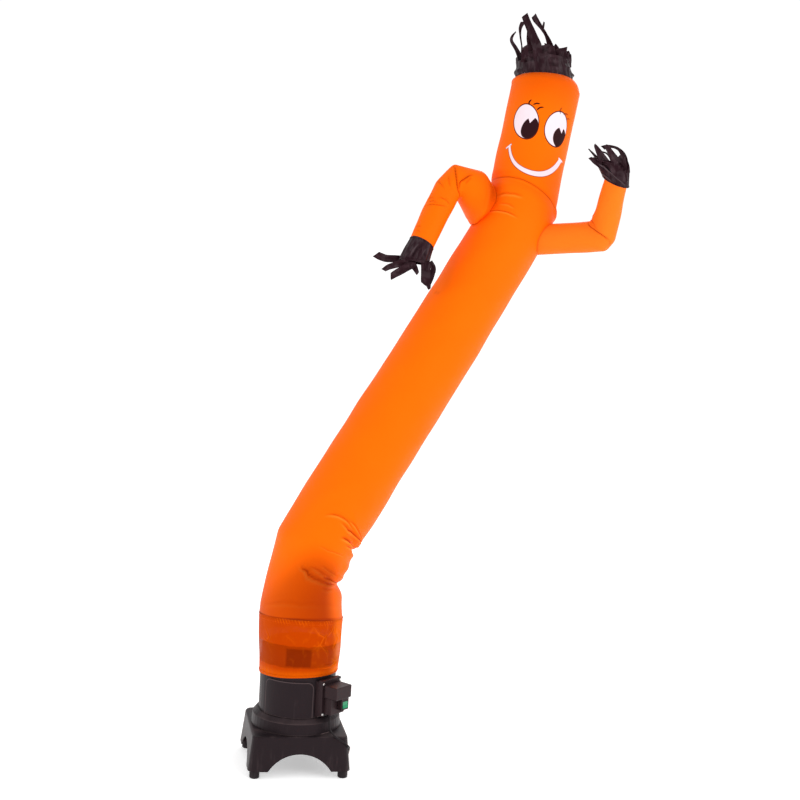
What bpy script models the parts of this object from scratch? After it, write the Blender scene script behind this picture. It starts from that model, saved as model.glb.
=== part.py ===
"""Inflatable air dancer standing on its blower, bent to one side in the stream of air.

Lengths are in metres and angles in degrees.  The front looks along -Y and +Z is up.
Places are measured from the blower's upright axis on the floor, which one empty carries.
Angles round a tube start at the figure's right-hand edge seen from the front and run
towards its back, so -90 faces the front.
"""
import math
from collections import namedtuple

import bmesh
import bpy
from mathutils import Matrix, Vector

BLOWER_AXIS = (-0.493, -0.159, 0.0)   # where the blower stands, so the whole is centred
GAP = 0.0003                          # between pieces that touch
CLOTH = 0.0012                        # thickness of the nylon cloth

# Blower base: a square moulded skirt with an arch in each side
BASE_TOP_Z = 0.162
BASE_FOOT_Z = 0.030
BASE_TOP_HALF = 0.181
BASE_FOOT_HALF = 0.195
BASE_WALL = 0.004
BASE_CORNER = 0.028
BASE_EDGE = 0.008
ARCH_HALF_WIDTH = 0.120
ARCH_RISE = 0.066
INLET_RADIUS = 0.115
FOOT_RADIUS = 0.019
FOOT_PLACE = 0.168
PAD_RADIUS = 0.024
PAD_HEIGHT = 0.008

# Round housing and what stands on it
HOUSING_RADIUS = 0.146
HOUSING_WALL = 0.005
HOUSING_TOP_Z = 0.400
RING_FOOT_RADIUS = 0.172
RING_SHOULDER_RADIUS = 0.168
RING_SHOULDER_Z = 0.205
RING_TOP_Z = 0.222
RING_WALL = 0.004
COLLAR_RADIUS = 0.1425
COLLAR_WALL = 0.004
COLLAR_TOP_Z = 0.478
COLLAR_BEAD = 0.0015
PANEL_THICK = 0.003
PANEL_FROM_DEG = -152.0
PANEL_TO_DEG = -71.0
PANEL_FOOT_Z = 0.2235
PANEL_TOP_Z = 0.364
PANEL_CORNER = 0.028
GUARD_RADIUS = 0.128
GUARD_THICK = 0.003
GUARD_SLOT = 0.011
GUARD_RINGS = (0.030, 0.054, 0.078, 0.102)
GUARD_RIB = 0.014

# Control box on the housing's front right, in its own axes: out, along, up
BOX_TURN = -48.0
PLATE_IN = 0.134
PLATE_OUT = 0.152
PLATE_HALF = 0.052
PLATE_FOOT_Z = 0.228
PLATE_TOP_Z = 0.366
BACK_OUT = 0.172
BACK_HALF = 0.054
BACK_TOP_Z = 0.373
BODY_OUT = 0.206
BACK_FOOT_Z = 0.234
BODY_HALF = 0.040
BODY_FOOT_Z = 0.244
COVER_OUT = 0.234
COVER_HALF = 0.045
COVER_FOOT_Z = 0.308
COVER_TOP_Z = 0.357
SCREW_ALONG = 0.047
SCREW_Z = (0.243, 0.3615)
SCREW_RADIUS = 0.0048
SCREW_HEIGHT = 0.003

# Rocker switch in its block below the cover
BLOCK_OUT = 0.2260
BLOCK_FROM = -0.001
BLOCK_TO = 0.041
BLOCK_FOOT_Z = 0.260
ROCKER_ALONG = 0.020
ROCKER_Z = 0.279
ROCKER_PIVOT_OUT = 0.2190
ROCKER_WIDTH = 0.028
ROCKER_HALF_HEIGHT = 0.0125
ROCKER_PROUD = 0.0030                 # its ends stand out of the block, its middle dips
ROCKER_DIP = 0.0008
ROCKER_BACK = -0.0050
ROCKER_BACK_HALF = 0.0090
ROCKER_TILT = -10.0
RECESS_HALF_HEIGHT = 0.0150
RECESS_DEPTH = 0.0165

# Cloth tube: hem on the housing, seam between sleeve and body, bends and crown
HEM_Z = 0.369
HEM_WAVE = 0.014
HEM_TURN = 65.0
COLUMNS = 32
Knot = namedtuple("Knot", "name x y z wide deep right_rise front_rise", defaults=(None, None))
SLEEVE_KNOTS = (
    Knot("hem", 0.000, 0.000, HEM_Z, 0.1488, 0.1488, 0.0, 0.0),
    Knot("bulge", 0.002, 0.000, 0.470, 0.1580, 0.1580),
    Knot("seam", 0.000, 0.000, 0.592, 0.1590, 0.1590, -0.04, 0.10),
)
BODY_KNOTS = (
    Knot("seam", 0.000, 0.000, 0.592, 0.1590, 0.1590, -0.04, 0.10),
    Knot("lower bend", -0.008, 0.001, 0.677, 0.1530, 0.1560, 0.30, 0.0),
    Knot("upper bend", 0.048, 0.022, 0.877, 0.1535, 0.1550, -0.26, 0.10),
    Knot("waist", 0.133, 0.051, 1.012, 0.1533, 0.1533),
    Knot("chest", 0.579, 0.205, 1.731, 0.1468, 0.1468),
    Knot("neck", 0.826, 0.293, 2.144, 0.1425, 0.1425),
    Knot("chin", 0.843, 0.306, 2.221, 0.1385, 0.1385, -0.54, 0.43),
    Knot("brow", 0.927, 0.385, 2.654, 0.1373, 0.1373, -0.14, 0.18),
)
CROWN_HEIGHT = 0.060
CROWN_POWER = 2.5
CROWN_SHARES = (0.35, 0.62, 0.80, 0.92, 0.985)
CROWN_LEAN = (-0.12, 0.20, 1.0)       # the way up the crown
Fold = namedtuple("Fold", "name knot side spread depth climb reach")
BODY_FOLDS = (
    Fold("lower bend", 1, -30.0, 48.0, 0.016, 0.120, 0.40),
    Fold("upper bend", 2, -22.0, 48.0, 0.014, 0.130, 0.40),
    Fold("neck", 6, -120.0, 80.0, 0.008, 0.0, 0.10),
)
FOLD_PITCH = 0.026
STRAIGHT_STEP = 0.24

# Arms, from inside the body to the wrist
ARM_COLUMNS = 20
LEFT_ARM_KNOTS = (
    Knot("root", 0.716, 0.283, 2.199, 0.045, 0.045),
    Knot("shoulder", 0.645, 0.262, 2.213, 0.107, 0.102, 12.0, -3.4),
    Knot("elbow crease", 0.555, 0.236, 2.271, 0.0420, 0.0560),
    Knot("elbow", 0.5195, 0.222, 2.236, 0.0415, 0.0540),
    Knot("forearm", 0.467, 0.180, 2.139, 0.0530, 0.0530),
    Knot("wrist", 0.412, 0.128, 2.028, 0.0490, 0.0490, -0.54, 0.38),
)
RIGHT_ARM_KNOTS = (
    Knot("root", 0.790, 0.293, 2.044, 0.0600, 0.0590),
    Knot("elbow", 1.109, 0.113, 2.089, 0.0580, 0.0605),
    Knot("elbow crease", 1.121, 0.096, 2.115, 0.0560, 0.0655, -0.69, -0.60),
    Knot("forearm", 1.126, 0.060, 2.187, 0.0510, 0.0505),
    Knot("wrist", 1.128, -0.002, 2.303, 0.0445, 0.0445, -0.30, -0.42),
)
LEFT_ARM_FOLD = Fold("elbow", 2, 180.0, 70.0, 0.003, 0.0, 0.1)
RIGHT_ARM_FOLD = Fold("elbow", 2, 140.0, 55.0, 0.004, 0.0, 0.1)
ARM_STEP = 0.06
ARM_FOLD_PITCH = 0.020

# Black hands: a gathered cuff, then a narrow strip that carries the finger strips
STRIP_HEIGHT = 0.010
STRIP_CLOTH = 0.0016
LEFT_CUFF_KNOTS = (
    Knot("wrist", 0.4118, 0.1278, 2.0271, 0.0490, 0.0490, -0.54, 0.38),
    Knot("palm", 0.395, 0.116, 1.992, 0.0530, 0.0410, -0.34, 0.29),
    Knot("edge", 0.3826, 0.1038, 1.967, 0.0560, 0.0300, -0.15, 0.20),
    Knot("rim", 0.382, 0.103, 1.963, 0.0560, 0.0300, -0.15, 0.20),
)
RIGHT_CUFF_KNOTS = (
    Knot("wrist", 1.1280, -0.0022, 2.3039, 0.0445, 0.0445, -0.30, -0.42),
    Knot("palm", 1.113, -0.018, 2.338, 0.0530, 0.0400, -0.24, -0.30),
    Knot("edge", 1.0963, -0.0312, 2.365, 0.0600, 0.0280, -0.185, -0.20),
    Knot("rim", 1.097, -0.032, 2.369, 0.0600, 0.0280, -0.185, -0.20),
)
Strip = namedtuple("Strip", "name root bend_x bend_y bend_z tip_x tip_y tip_z width turn")
LEFT_FINGERS = (
    Strip("thumb", 180, -0.082, 0.006, -0.014, -0.142, 0.018, 0.018, 0.030, 30),
    Strip("first", 142, -0.082, -0.028, -0.006, -0.112, -0.034, -0.038, 0.028, 10),
    Strip("second", 104, -0.034, -0.044, -0.040, -0.088, -0.048, -0.056, 0.030, 10),
    Strip("third", -95, 0.002, 0.040, -0.020, 0.012, 0.040, -0.042, 0.024, 0),
    Strip("fourth", 52, 0.034, -0.038, -0.018, 0.044, -0.036, -0.086, 0.026, 10),
    Strip("little", -8, 0.112, 0.006, -0.024, 0.070, 0.012, -0.102, 0.026, -20),
)
RIGHT_FINGERS = (
    Strip("stub", 180, -0.070, 0.008, 0.024, -0.084, 0.010, 0.026, 0.022, 20),
    Strip("first", 138, -0.054, 0.030, 0.036, -0.080, 0.034, 0.050, 0.022, 20),
    Strip("second", -142, -0.058, -0.020, 0.030, -0.074, -0.018, 0.060, 0.026, -20),
    Strip("third", -95, -0.012, -0.044, 0.036, -0.014, -0.030, 0.056, 0.028, 10),
    Strip("fourth", -30, 0.062, -0.050, 0.072, -0.040, -0.052, 0.054, 0.026, -30),
    Strip("little", 60, 0.058, 0.034, 0.048, 0.010, 0.040, 0.044, 0.026, 20),
)

# Black hair: a band round the crown, then strips on a narrow strip at its upper edge
BAND_SEAT = 0.0415
BAND_HEIGHT = 0.066
BAND_CLEARANCE = 0.0005
BAND_RADIUS = 0.1085
HAIR_STRIPS = (
    Strip("tall front", -111, -0.066, -0.094, 0.066, -0.106, -0.046, 0.154, 0.026, 10),
    Strip("tall back", 72, 0.040, 0.074, 0.116, -0.048, 0.038, 0.162, 0.027, -20),
    Strip("left loop", 180, -0.144, 0.020, 0.060, -0.116, 0.016, 0.096, 0.024, 50),
    Strip("left edge", 150, -0.092, 0.064, 0.070, -0.090, 0.060, 0.136, 0.024, 60),
    Strip("left stub", -157, -0.112, -0.044, 0.020, -0.104, -0.042, 0.042, 0.026, 0),
    Strip("centre", -134, -0.084, -0.084, 0.040, -0.082, -0.084, 0.086, 0.028, 0),
    Strip("centre low", -86, 0.004, -0.114, 0.034, -0.008, -0.112, 0.042, 0.028, 0),
    Strip("right low", -63, 0.052, -0.102, 0.030, 0.042, -0.096, 0.044, 0.030, 0),
    Strip("right block", -36, 0.094, -0.070, 0.018, 0.080, -0.062, 0.046, 0.038, 0),
    Strip("right fold", -8, 0.120, -0.020, 0.012, 0.114, -0.020, 0.026, 0.026, 0),
    Strip("back right", 36, 0.094, 0.068, 0.026, 0.084, 0.062, 0.046, 0.030, 0),
    Strip("back centre", 100, -0.014, 0.114, 0.036, -0.014, 0.106, 0.066, 0.030, 0),
    Strip("back left", 125, -0.064, 0.094, 0.030, -0.064, 0.086, 0.056, 0.028, 0),
)
STRIP_STEPS = 5
STRIP_ROOT_SHARE = 0.75                # width of a strip at its root, of its full width

# Mains cord: from the box over the base's shoulder, down its side and round behind it
CORD = 0.007
RELIEF_TOP_RADIUS = 0.0068
RELIEF_END_RADIUS = 0.0046
RELIEF_LENGTH = 0.022
CORD_OUT = 0.188
CORD_ALONG = -0.022
CORD_ROUTE = (
    (0.1094, -0.1544, 0.2212), (0.1097, -0.1560, 0.2050), (0.1120, -0.1640, 0.1880),
    (0.1190, -0.1760, 0.1755), (0.1300, -0.1850, 0.1655), (0.1440, -0.1885, 0.1560),
    (0.1600, -0.1895, 0.1460), (0.1750, -0.1885, 0.1360), (0.1870, -0.1810, 0.1260),
    (0.1915, -0.1660, 0.1150), (0.1930, -0.1420, 0.0990), (0.1955, -0.1100, 0.0760),
    (0.1985, -0.0720, 0.0500), (0.2010, -0.0320, 0.0270), (0.2030, 0.0100, 0.0105),
    (0.2050, 0.0520, 0.0045), (0.2070, 0.1000, 0.0038), (0.2040, 0.1500, 0.0038),
    (0.1900, 0.2000, 0.0038), (0.1630, 0.2400, 0.0038), (0.1250, 0.2620, 0.0038),
    (0.0800, 0.2665, 0.0038),
)
CORD_STEPS = 2
COIL_CENTRE = (0.050, 0.305)
COIL_RADIUS = 0.0385
COIL_HEIGHT = 0.0142
PLUG_LENGTH = 0.040
PLUG_PLACE = (0.0824, 0.3470, 0.0116)
BLADE_LENGTH = 0.017
BLADE_SIZE = (0.0015, 0.0063)
BLADE_SPREAD = 0.0127
EARTH_RADIUS = 0.0024
EARTH_DROP = 0.0050


# ---- scene, finishes and placing ----

def clear_scene():
    for item in list(bpy.data.objects):
        bpy.data.objects.remove(item, do_unlink=True)


def new_collection(name):
    group = bpy.data.collections.new(name)
    bpy.context.scene.collection.children.link(group)
    return group


def finish(name, colour, roughness, metallic=0.0):
    material = bpy.data.materials.new(name)
    material.use_nodes = True
    shader = material.node_tree.nodes["Principled BSDF"]
    shader.inputs["Base Color"].default_value = (*colour, 1.0)
    shader.inputs["Roughness"].default_value = roughness
    shader.inputs["Metallic"].default_value = metallic
    return material


class Workshop:
    """The collections, the empty that carries every part, and the named finishes."""

    def __init__(self):
        self.parts = new_collection("air_dancer")
        self.cutters = new_collection("cutters")
        self.stand = bpy.data.objects.new("blower_axis", None)
        self.stand.location = BLOWER_AXIS
        self.parts.objects.link(self.stand)
        self.finishes = {
            "orange": ((1.0, 0.16, 0.01), 0.55, 0.0),
            "sheer": ((0.60, 0.08, 0.004), 0.60, 0.0),
            "black_cloth": ((0.03, 0.02, 0.024), 0.60, 0.0),
            "moulding": ((0.03, 0.022, 0.026), 0.42, 0.0),
            "rubber": ((0.012, 0.011, 0.012), 0.70, 0.0),
            "steel": ((0.75, 0.74, 0.72), 0.25, 1.0),
            "brass": ((0.70, 0.52, 0.22), 0.30, 1.0),
            "green": ((0.01, 0.36, 0.14), 0.30, 0.0),
        }

    def add(self, name, mesh, kind):
        part = bpy.data.objects.new(name, mesh)
        part.data.materials.append(finish(name + "_" + kind, *self.finishes[kind]))
        self.parts.objects.link(part)
        part.parent = self.stand
        return part

    def cutter(self, name, mesh):
        tool = bpy.data.objects.new(name, mesh)
        tool.hide_render = True
        tool.display_type = "WIRE"
        self.cutters.objects.link(tool)
        tool.parent = self.stand
        return tool


def mesh_from(name, shape):
    mesh = bpy.data.meshes.new(name)
    shape.to_mesh(mesh)
    shape.free()
    mesh.shade_smooth()
    mesh.set_sharp_from_angle(angle=math.radians(35))
    return mesh


def box_mesh(name, low, high, edge=0.0, segments=2):
    """An upright box between two corners, its edges rounded by edge."""
    shape = bmesh.new()
    bmesh.ops.create_cube(shape, size=1.0)
    size = Vector(high) - Vector(low)
    middle = (Vector(high) + Vector(low)) / 2
    bmesh.ops.transform(shape, matrix=Matrix.Translation(middle) @ Matrix.Diagonal((*size, 1)),
                        verts=shape.verts)
    if edge:
        bmesh.ops.bevel(shape, geom=shape.edges[:], offset=edge, segments=segments,
                        affect="EDGES", profile=0.5)
    return mesh_from(name, shape)


def cylinder_mesh(name, radius, low, high, sides=32, top_radius=None, place=(0.0, 0.0)):
    shape = bmesh.new()
    ends = radius if top_radius is None else top_radius
    bmesh.ops.create_cone(shape, cap_ends=True, segments=sides, radius1=radius, radius2=ends,
                          depth=high - low)
    bmesh.ops.translate(shape, vec=(*place, (low + high) / 2), verts=shape.verts)
    return mesh_from(name, shape)


def turned(shop, name, profile, kind, sides=48):
    """A closed outline of (radius, height) pairs turned round the upright axis."""
    shape = bmesh.new()
    corners = [shape.verts.new((radius, 0.0, height)) for radius, height in profile]
    for here, there in zip(corners, corners[1:] + corners[:1]):
        shape.edges.new((here, there))
    part = shop.add(name, mesh_from(name, shape), kind)
    screw = part.modifiers.new("turn", "SCREW")
    screw.steps = sides
    screw.render_steps = sides
    screw.use_merge_vertices = True
    screw.merge_threshold = 0.0001
    return part


def cut(part, tool, operation="DIFFERENCE"):
    step = part.modifiers.new(tool.name, "BOOLEAN")
    step.operation = operation
    step.object = tool
    step.solver = "EXACT"


def smooth_step(value):
    value = min(max(value, 0.0), 1.0)
    return value * value * (3.0 - 2.0 * value)


# ---- blower ----

def build_base(shop):
    """Flared square skirt under a flat deck, open below, arched on its four sides."""
    shape = bmesh.new()
    bmesh.ops.create_cube(shape, size=2.0)
    for corner in shape.verts:
        upper = corner.co.z > 0
        half = BASE_TOP_HALF if upper else BASE_FOOT_HALF
        corner.co.x *= half
        corner.co.y *= half
        corner.co.z = BASE_TOP_Z if upper else BASE_FOOT_Z
    floor = [face for face in shape.faces if face.normal.z < -0.9]
    bmesh.ops.delete(shape, geom=floor, context="FACES_ONLY")
    uprights = [edge for edge in shape.edges
                if abs(edge.verts[0].co.z - edge.verts[1].co.z) > 0.05]
    bmesh.ops.bevel(shape, geom=uprights, offset=BASE_CORNER, segments=5, affect="EDGES",
                    profile=0.5)
    rim = [edge for edge in shape.edges
           if all(abs(end.co.z - BASE_TOP_Z) < 1e-5 for end in edge.verts)]
    bmesh.ops.bevel(shape, geom=rim, offset=BASE_EDGE, segments=3, affect="EDGES", profile=0.5)
    base = shop.add("blower_base", mesh_from("blower_base", shape), "moulding")
    shell = base.modifiers.new("wall", "SOLIDIFY")
    shell.thickness = BASE_WALL
    shell.offset = -1.0
    cut(base, foot_pads(shop), "UNION")
    rise_radius = (ARCH_HALF_WIDTH ** 2 + ARCH_RISE ** 2) / (2 * ARCH_RISE)
    for axis, turn in (("x", (0, 90, 0)), ("y", (90, 0, 0))):
        arch = cylinder_mesh("arch_" + axis, rise_radius, -0.3, 0.3, sides=64)
        tool = shop.cutter("arch_" + axis, arch)
        tool.rotation_euler = [math.radians(angle) for angle in turn]
        tool.location.z = BASE_FOOT_Z + ARCH_RISE - rise_radius
        cut(base, tool)
    inlet = cylinder_mesh("inlet", INLET_RADIUS, BASE_TOP_Z - 0.02, BASE_TOP_Z + 0.02, sides=40)
    cut(base, shop.cutter("inlet", inlet))
    return base


def foot_places():
    return [(across * FOOT_PLACE, deep * FOOT_PLACE) for deep in (-1, 1) for across in (-1, 1)]


def foot_pads(shop):
    """Discs that close the four corners of the skirt's lower edge."""
    shape = bmesh.new()
    for across, deep in foot_places():
        made = bmesh.ops.create_cone(shape, cap_ends=True, segments=24, radius1=PAD_RADIUS,
                                     radius2=PAD_RADIUS, depth=PAD_HEIGHT)
        lift = BASE_FOOT_Z + GAP + PAD_HEIGHT / 2
        bmesh.ops.translate(shape, vec=(across, deep, lift), verts=made["verts"])
    return shop.cutter("foot_pads", mesh_from("foot_pads", shape))


def build_feet(shop):
    names = ("front_left", "front_right", "back_left", "back_right")
    for name, place in zip(names, foot_places()):
        mesh = cylinder_mesh("foot", FOOT_RADIUS, 0.0, BASE_FOOT_Z, sides=18)
        foot = shop.add("foot_" + name, mesh, "rubber")
        foot.location = (*place, 0.0)
        soft = foot.modifiers.new("edge", "BEVEL")
        soft.width = 0.003
        soft.segments = 1


def build_housing(shop):
    """Foot ring, round housing with an inward flange on top, and the outlet collar."""
    inner = HOUSING_RADIUS + GAP
    turned(shop, "foot_ring", (
        (inner, RING_TOP_Z),
        (inner + 0.008, RING_TOP_Z - 0.001),
        (RING_SHOULDER_RADIUS - 0.004, RING_SHOULDER_Z + 0.004),
        (RING_SHOULDER_RADIUS, RING_SHOULDER_Z),
        (RING_FOOT_RADIUS, BASE_TOP_Z + GAP),
        (RING_FOOT_RADIUS - RING_WALL, BASE_TOP_Z + GAP),
        (RING_SHOULDER_RADIUS - RING_WALL, RING_SHOULDER_Z - RING_WALL),
        (inner, RING_TOP_Z - RING_WALL * 2),
    ), "moulding")
    bore = HOUSING_RADIUS - HOUSING_WALL
    turned(shop, "blower_housing", (
        (HOUSING_RADIUS - 0.006, HOUSING_TOP_Z),
        (HOUSING_RADIUS - 0.002, HOUSING_TOP_Z - 0.002),
        (HOUSING_RADIUS, HOUSING_TOP_Z - 0.006),
        (HOUSING_RADIUS, BASE_TOP_Z + GAP),
        (bore, BASE_TOP_Z + GAP),
        (bore, HOUSING_TOP_Z - 0.010),
        (COLLAR_RADIUS - COLLAR_WALL * 2, HOUSING_TOP_Z - 0.004),
        (COLLAR_RADIUS - COLLAR_WALL * 2, HOUSING_TOP_Z),
    ), "moulding")
    throat = COLLAR_RADIUS - COLLAR_WALL
    turned(shop, "outlet_collar", (
        (throat, COLLAR_TOP_Z),
        (COLLAR_RADIUS, COLLAR_TOP_Z),
        (COLLAR_RADIUS + COLLAR_BEAD, COLLAR_TOP_Z - 0.003),
        (COLLAR_RADIUS + COLLAR_BEAD, COLLAR_TOP_Z - 0.009),
        (COLLAR_RADIUS, COLLAR_TOP_Z - 0.012),
        (COLLAR_RADIUS, HOUSING_TOP_Z + GAP),
        (throat, HOUSING_TOP_Z + GAP),
    ), "moulding")


def build_panel(shop):
    """Thin raised plate with round corners, curved round the housing's front."""
    radius = HOUSING_RADIUS + GAP
    start = math.radians(PANEL_FROM_DEG)
    sweep = math.radians(PANEL_TO_DEG) - start
    columns = 24
    corner = PANEL_CORNER / (radius * sweep)
    shape = bmesh.new()
    rows = []
    for level in range(2):
        row = []
        for column in range(columns + 1):
            share = column / columns
            near_end = min(share, 1 - share) / corner
            drop = 0.0
            if level and near_end < 1:
                drop = PANEL_CORNER * (1 - math.sqrt(1 - (1 - near_end) ** 2))
            angle = start + sweep * share
            height = PANEL_TOP_Z - drop if level else PANEL_FOOT_Z
            place = (radius * math.cos(angle), radius * math.sin(angle), height)
            row.append(shape.verts.new(place))
        rows.append(row)
    for column in range(columns):
        shape.faces.new((rows[0][column], rows[0][column + 1],
                         rows[1][column + 1], rows[1][column]))
    panel = shop.add("front_panel", mesh_from("front_panel", shape), "moulding")
    wall = panel.modifiers.new("wall", "SOLIDIFY")
    wall.thickness = PANEL_THICK
    wall.offset = 1.0


def build_guard(shop):
    """Flat moulded disc below the deck, cut through by arcs of slots."""
    outline = bpy.data.curves.new("inlet_guard", "CURVE")
    outline.dimensions = "2D"
    outline.fill_mode = "BOTH"
    outline.extrude = GUARD_THICK / 2
    add_loop(outline, [polar(GUARD_RADIUS, 360 * step / 48) for step in range(48)])
    for radius in GUARD_RINGS:
        for quarter in range(4):
            margin = math.degrees(GUARD_RIB / 2 / radius)
            start = quarter * 90 + margin
            add_loop(outline, slot_points(radius, start, start + 90 - 2 * margin))
    guard = bpy.data.objects.new("guard_outline", outline)
    shop.parts.objects.link(guard)
    solid = curve_to_mesh(guard, "inlet_guard")
    guard = shop.add("inlet_guard", solid, "moulding")
    guard.location.z = BASE_TOP_Z - BASE_WALL - GAP - GUARD_THICK / 2


def polar(radius, degrees):
    angle = math.radians(degrees)
    return (radius * math.cos(angle), radius * math.sin(angle))


def slot_points(radius, start, end):
    """Outline of an arc-shaped slot between two angles."""
    outer, inner = radius + GUARD_SLOT / 2, radius - GUARD_SLOT / 2
    steps = max(3, round((end - start) / 12))
    angles = [start + (end - start) * step / steps for step in range(steps + 1)]
    return [polar(outer, angle) for angle in angles] + [polar(inner, angle)
                                                       for angle in reversed(angles)]


def add_loop(outline, points):
    loop = outline.splines.new("POLY")
    loop.points.add(len(points) - 1)
    for point, place in zip(loop.points, points):
        point.co = (*place, 0.0, 1.0)
    loop.use_cyclic_u = True


def curve_to_mesh(source, name):
    """The curve's evaluated mesh with its caps welded; the curve is removed."""
    bpy.context.view_layer.update()
    graph = bpy.context.evaluated_depsgraph_get()
    raw = bpy.data.meshes.new_from_object(source.evaluated_get(graph))
    shape = bmesh.new()
    shape.from_mesh(raw)
    bmesh.ops.remove_doubles(shape, verts=shape.verts, dist=0.00001)
    bpy.data.meshes.remove(raw)
    bpy.data.objects.remove(source, do_unlink=True)
    return mesh_from(name, shape)


# ---- control box, switch ----

def box_frame():
    """The control box's own axes: X outwards, Y along the housing, Z up."""
    return Matrix.Rotation(math.radians(BOX_TURN), 4, "Z")


def add_box_part(shop, name, low, high, edge, kind="moulding"):
    part = shop.add(name, box_mesh(name, low, high, edge), kind)
    part.rotation_euler.z = math.radians(BOX_TURN)
    return part


def build_control_box(shop):
    plate = add_box_part(shop, "box_plate", (PLATE_IN, -PLATE_HALF, PLATE_FOOT_Z),
                         (PLATE_OUT, PLATE_HALF, PLATE_TOP_Z), 0.0)
    saddle = cylinder_mesh("saddle", HOUSING_RADIUS + GAP, RING_SHOULDER_Z, HOUSING_TOP_Z, sides=48)
    cut(plate, shop.cutter("saddle", saddle))
    add_box_part(shop, "box_back", (PLATE_OUT + GAP, -BACK_HALF, BACK_FOOT_Z),
                 (BACK_OUT, BACK_HALF, BACK_TOP_Z), 0.002)
    inside = BACK_OUT + GAP
    add_box_part(shop, "box_body", (inside, -BODY_HALF, BODY_FOOT_Z),
                 (BODY_OUT, BODY_HALF, COVER_FOOT_Z - GAP), 0.002)
    add_box_part(shop, "box_cover", (inside, -COVER_HALF, COVER_FOOT_Z),
                 (COVER_OUT, COVER_HALF, COVER_TOP_Z), 0.003)
    turn = box_frame()
    number = 0
    for side in (-1, 1):
        for height in SCREW_Z:
            number += 1
            mesh = cylinder_mesh("screw", SCREW_RADIUS, 0.0, SCREW_HEIGHT, sides=16,
                                 top_radius=SCREW_RADIUS * 0.6)
            screw = shop.add(f"box_screw_{number}", mesh, "steel")
            screw.rotation_euler = (0.0, math.radians(90), math.radians(BOX_TURN))
            screw.location = turn @ Vector((inside, SCREW_ALONG * side, height))


def build_switch(shop):
    """Block with a recess in its outer face, and the rocker that tips in it."""
    block = add_box_part(shop, "switch_block", (BODY_OUT + GAP, BLOCK_FROM, BLOCK_FOOT_Z),
                         (BLOCK_OUT, BLOCK_TO, COVER_FOOT_Z - GAP), 0.0015)
    half = ROCKER_WIDTH / 2 + GAP
    recess = box_mesh("recess", (BLOCK_OUT - RECESS_DEPTH, ROCKER_ALONG - half,
                                 ROCKER_Z - RECESS_HALF_HEIGHT),
                      (BLOCK_OUT + 0.01, ROCKER_ALONG + half, ROCKER_Z + RECESS_HALF_HEIGHT))
    tool = shop.cutter("recess", recess)
    tool.rotation_euler.z = math.radians(BOX_TURN)
    cut(block, tool)
    reach = BLOCK_OUT - ROCKER_PIVOT_OUT
    side = (
        (reach + ROCKER_PROUD, ROCKER_HALF_HEIGHT),
        (reach + ROCKER_DIP, 0.0),
        (reach + ROCKER_PROUD, -ROCKER_HALF_HEIGHT),
        (ROCKER_BACK, -ROCKER_BACK_HALF),
        (ROCKER_BACK, ROCKER_BACK_HALF),
    )
    shape = bmesh.new()
    face = shape.faces.new([shape.verts.new((out, -ROCKER_WIDTH / 2, up)) for out, up in side])
    grown = bmesh.ops.extrude_face_region(shape, geom=[face])
    moved = [item for item in grown["geom"] if isinstance(item, bmesh.types.BMVert)]
    bmesh.ops.translate(shape, vec=(0.0, ROCKER_WIDTH, 0.0), verts=moved)
    bmesh.ops.recalc_face_normals(shape, faces=shape.faces)
    rocker = shop.add("rocker", mesh_from("rocker", shape), "green")
    rocker.location = box_frame() @ Vector((ROCKER_PIVOT_OUT, ROCKER_ALONG, ROCKER_Z))
    rocker.rotation_euler = (0.0, math.radians(ROCKER_TILT), math.radians(BOX_TURN))


# ---- cloth tubes ----

def ring(centre, right, back, wide, deep, columns):
    spots = []
    for column in range(columns):
        angle = 2 * math.pi * column / columns
        spots.append(centre + right * wide * math.cos(angle) + back * deep * math.sin(angle))
    return spots


def slide(vector, way, plane):
    """The vector moved along the way until it lies in the plane."""
    return vector - way * (vector.dot(plane) / way.dot(plane))


def knot_plane(knot, before, after):
    """The way a knot's ring faces: halving the bend, unless the knot says how it rises."""
    if knot.right_rise is None:
        return (before + after).normalized()
    return Vector((-knot.right_rise, knot.front_rise, 1.0)).normalized()


def mitred_rings(knots, columns):
    """One ring of points at each knot, lying in the knot's plane.

    Also returns the last ring's axes: along the tube, to the right and to the back.
    """
    places = [Vector((knot.x, knot.y, knot.z)) for knot in knots]
    ways = [(there - here).normalized() for here, there in zip(places, places[1:])]
    right = Vector((1, 0, 0))
    right = (right - ways[0] * right.dot(ways[0])).normalized()
    rings = []
    for index, knot in enumerate(knots):
        before = ways[max(index - 1, 0)]
        after = ways[min(index, len(ways) - 1)]
        plane = knot_plane(knot, before, after)
        across = slide(right, before, plane)
        deep = slide(before.cross(right), before, plane)
        rings.append(ring(places[index], across, deep, knot.wide, knot.deep, columns))
        right = before.rotation_difference(after) @ right
    return rings, (ways[-1], across, deep)


def knot_stations(knots):
    """Distance of each knot along the tube's middle line."""
    stations = [0.0]
    for here, there in zip(knots, knots[1:]):
        step = Vector((there.x - here.x, there.y - here.y, there.z - here.z)).length
        stations.append(stations[-1] + step)
    return stations


def tube_rows(knots, folds, straight, pitch):
    """Stations of the rows: evenly spaced between knots, and five close ones at each fold."""
    stations = knot_stations(knots)
    close = [stations[fold.knot] + pitch * step for fold in folds for step in range(-2, 3)]
    rows = set(round(value, 5) for value in close if 0.0 < value < stations[-1])
    for here, there in zip(stations, stations[1:]):
        count = max(1, round((there - here) / straight))
        for step in range(count + 1):
            value = here + (there - here) * step / count
            if all(abs(value - other) > pitch * 0.7 for other in rows):
                rows.add(round(value, 5))
    rows.add(0.0)
    rows.add(round(stations[-1], 5))
    return sorted(rows)


def along_column(rings, stations, column, station):
    """Place on a tube's column at a distance along the middle line, straight between knots."""
    last = len(stations) - 2
    index = max(place for place in range(last + 1) if stations[place] <= station or place == 0)
    share = (station - stations[index]) / (stations[index + 1] - stations[index])
    return rings[index][column].lerp(rings[index + 1][column], share)


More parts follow.
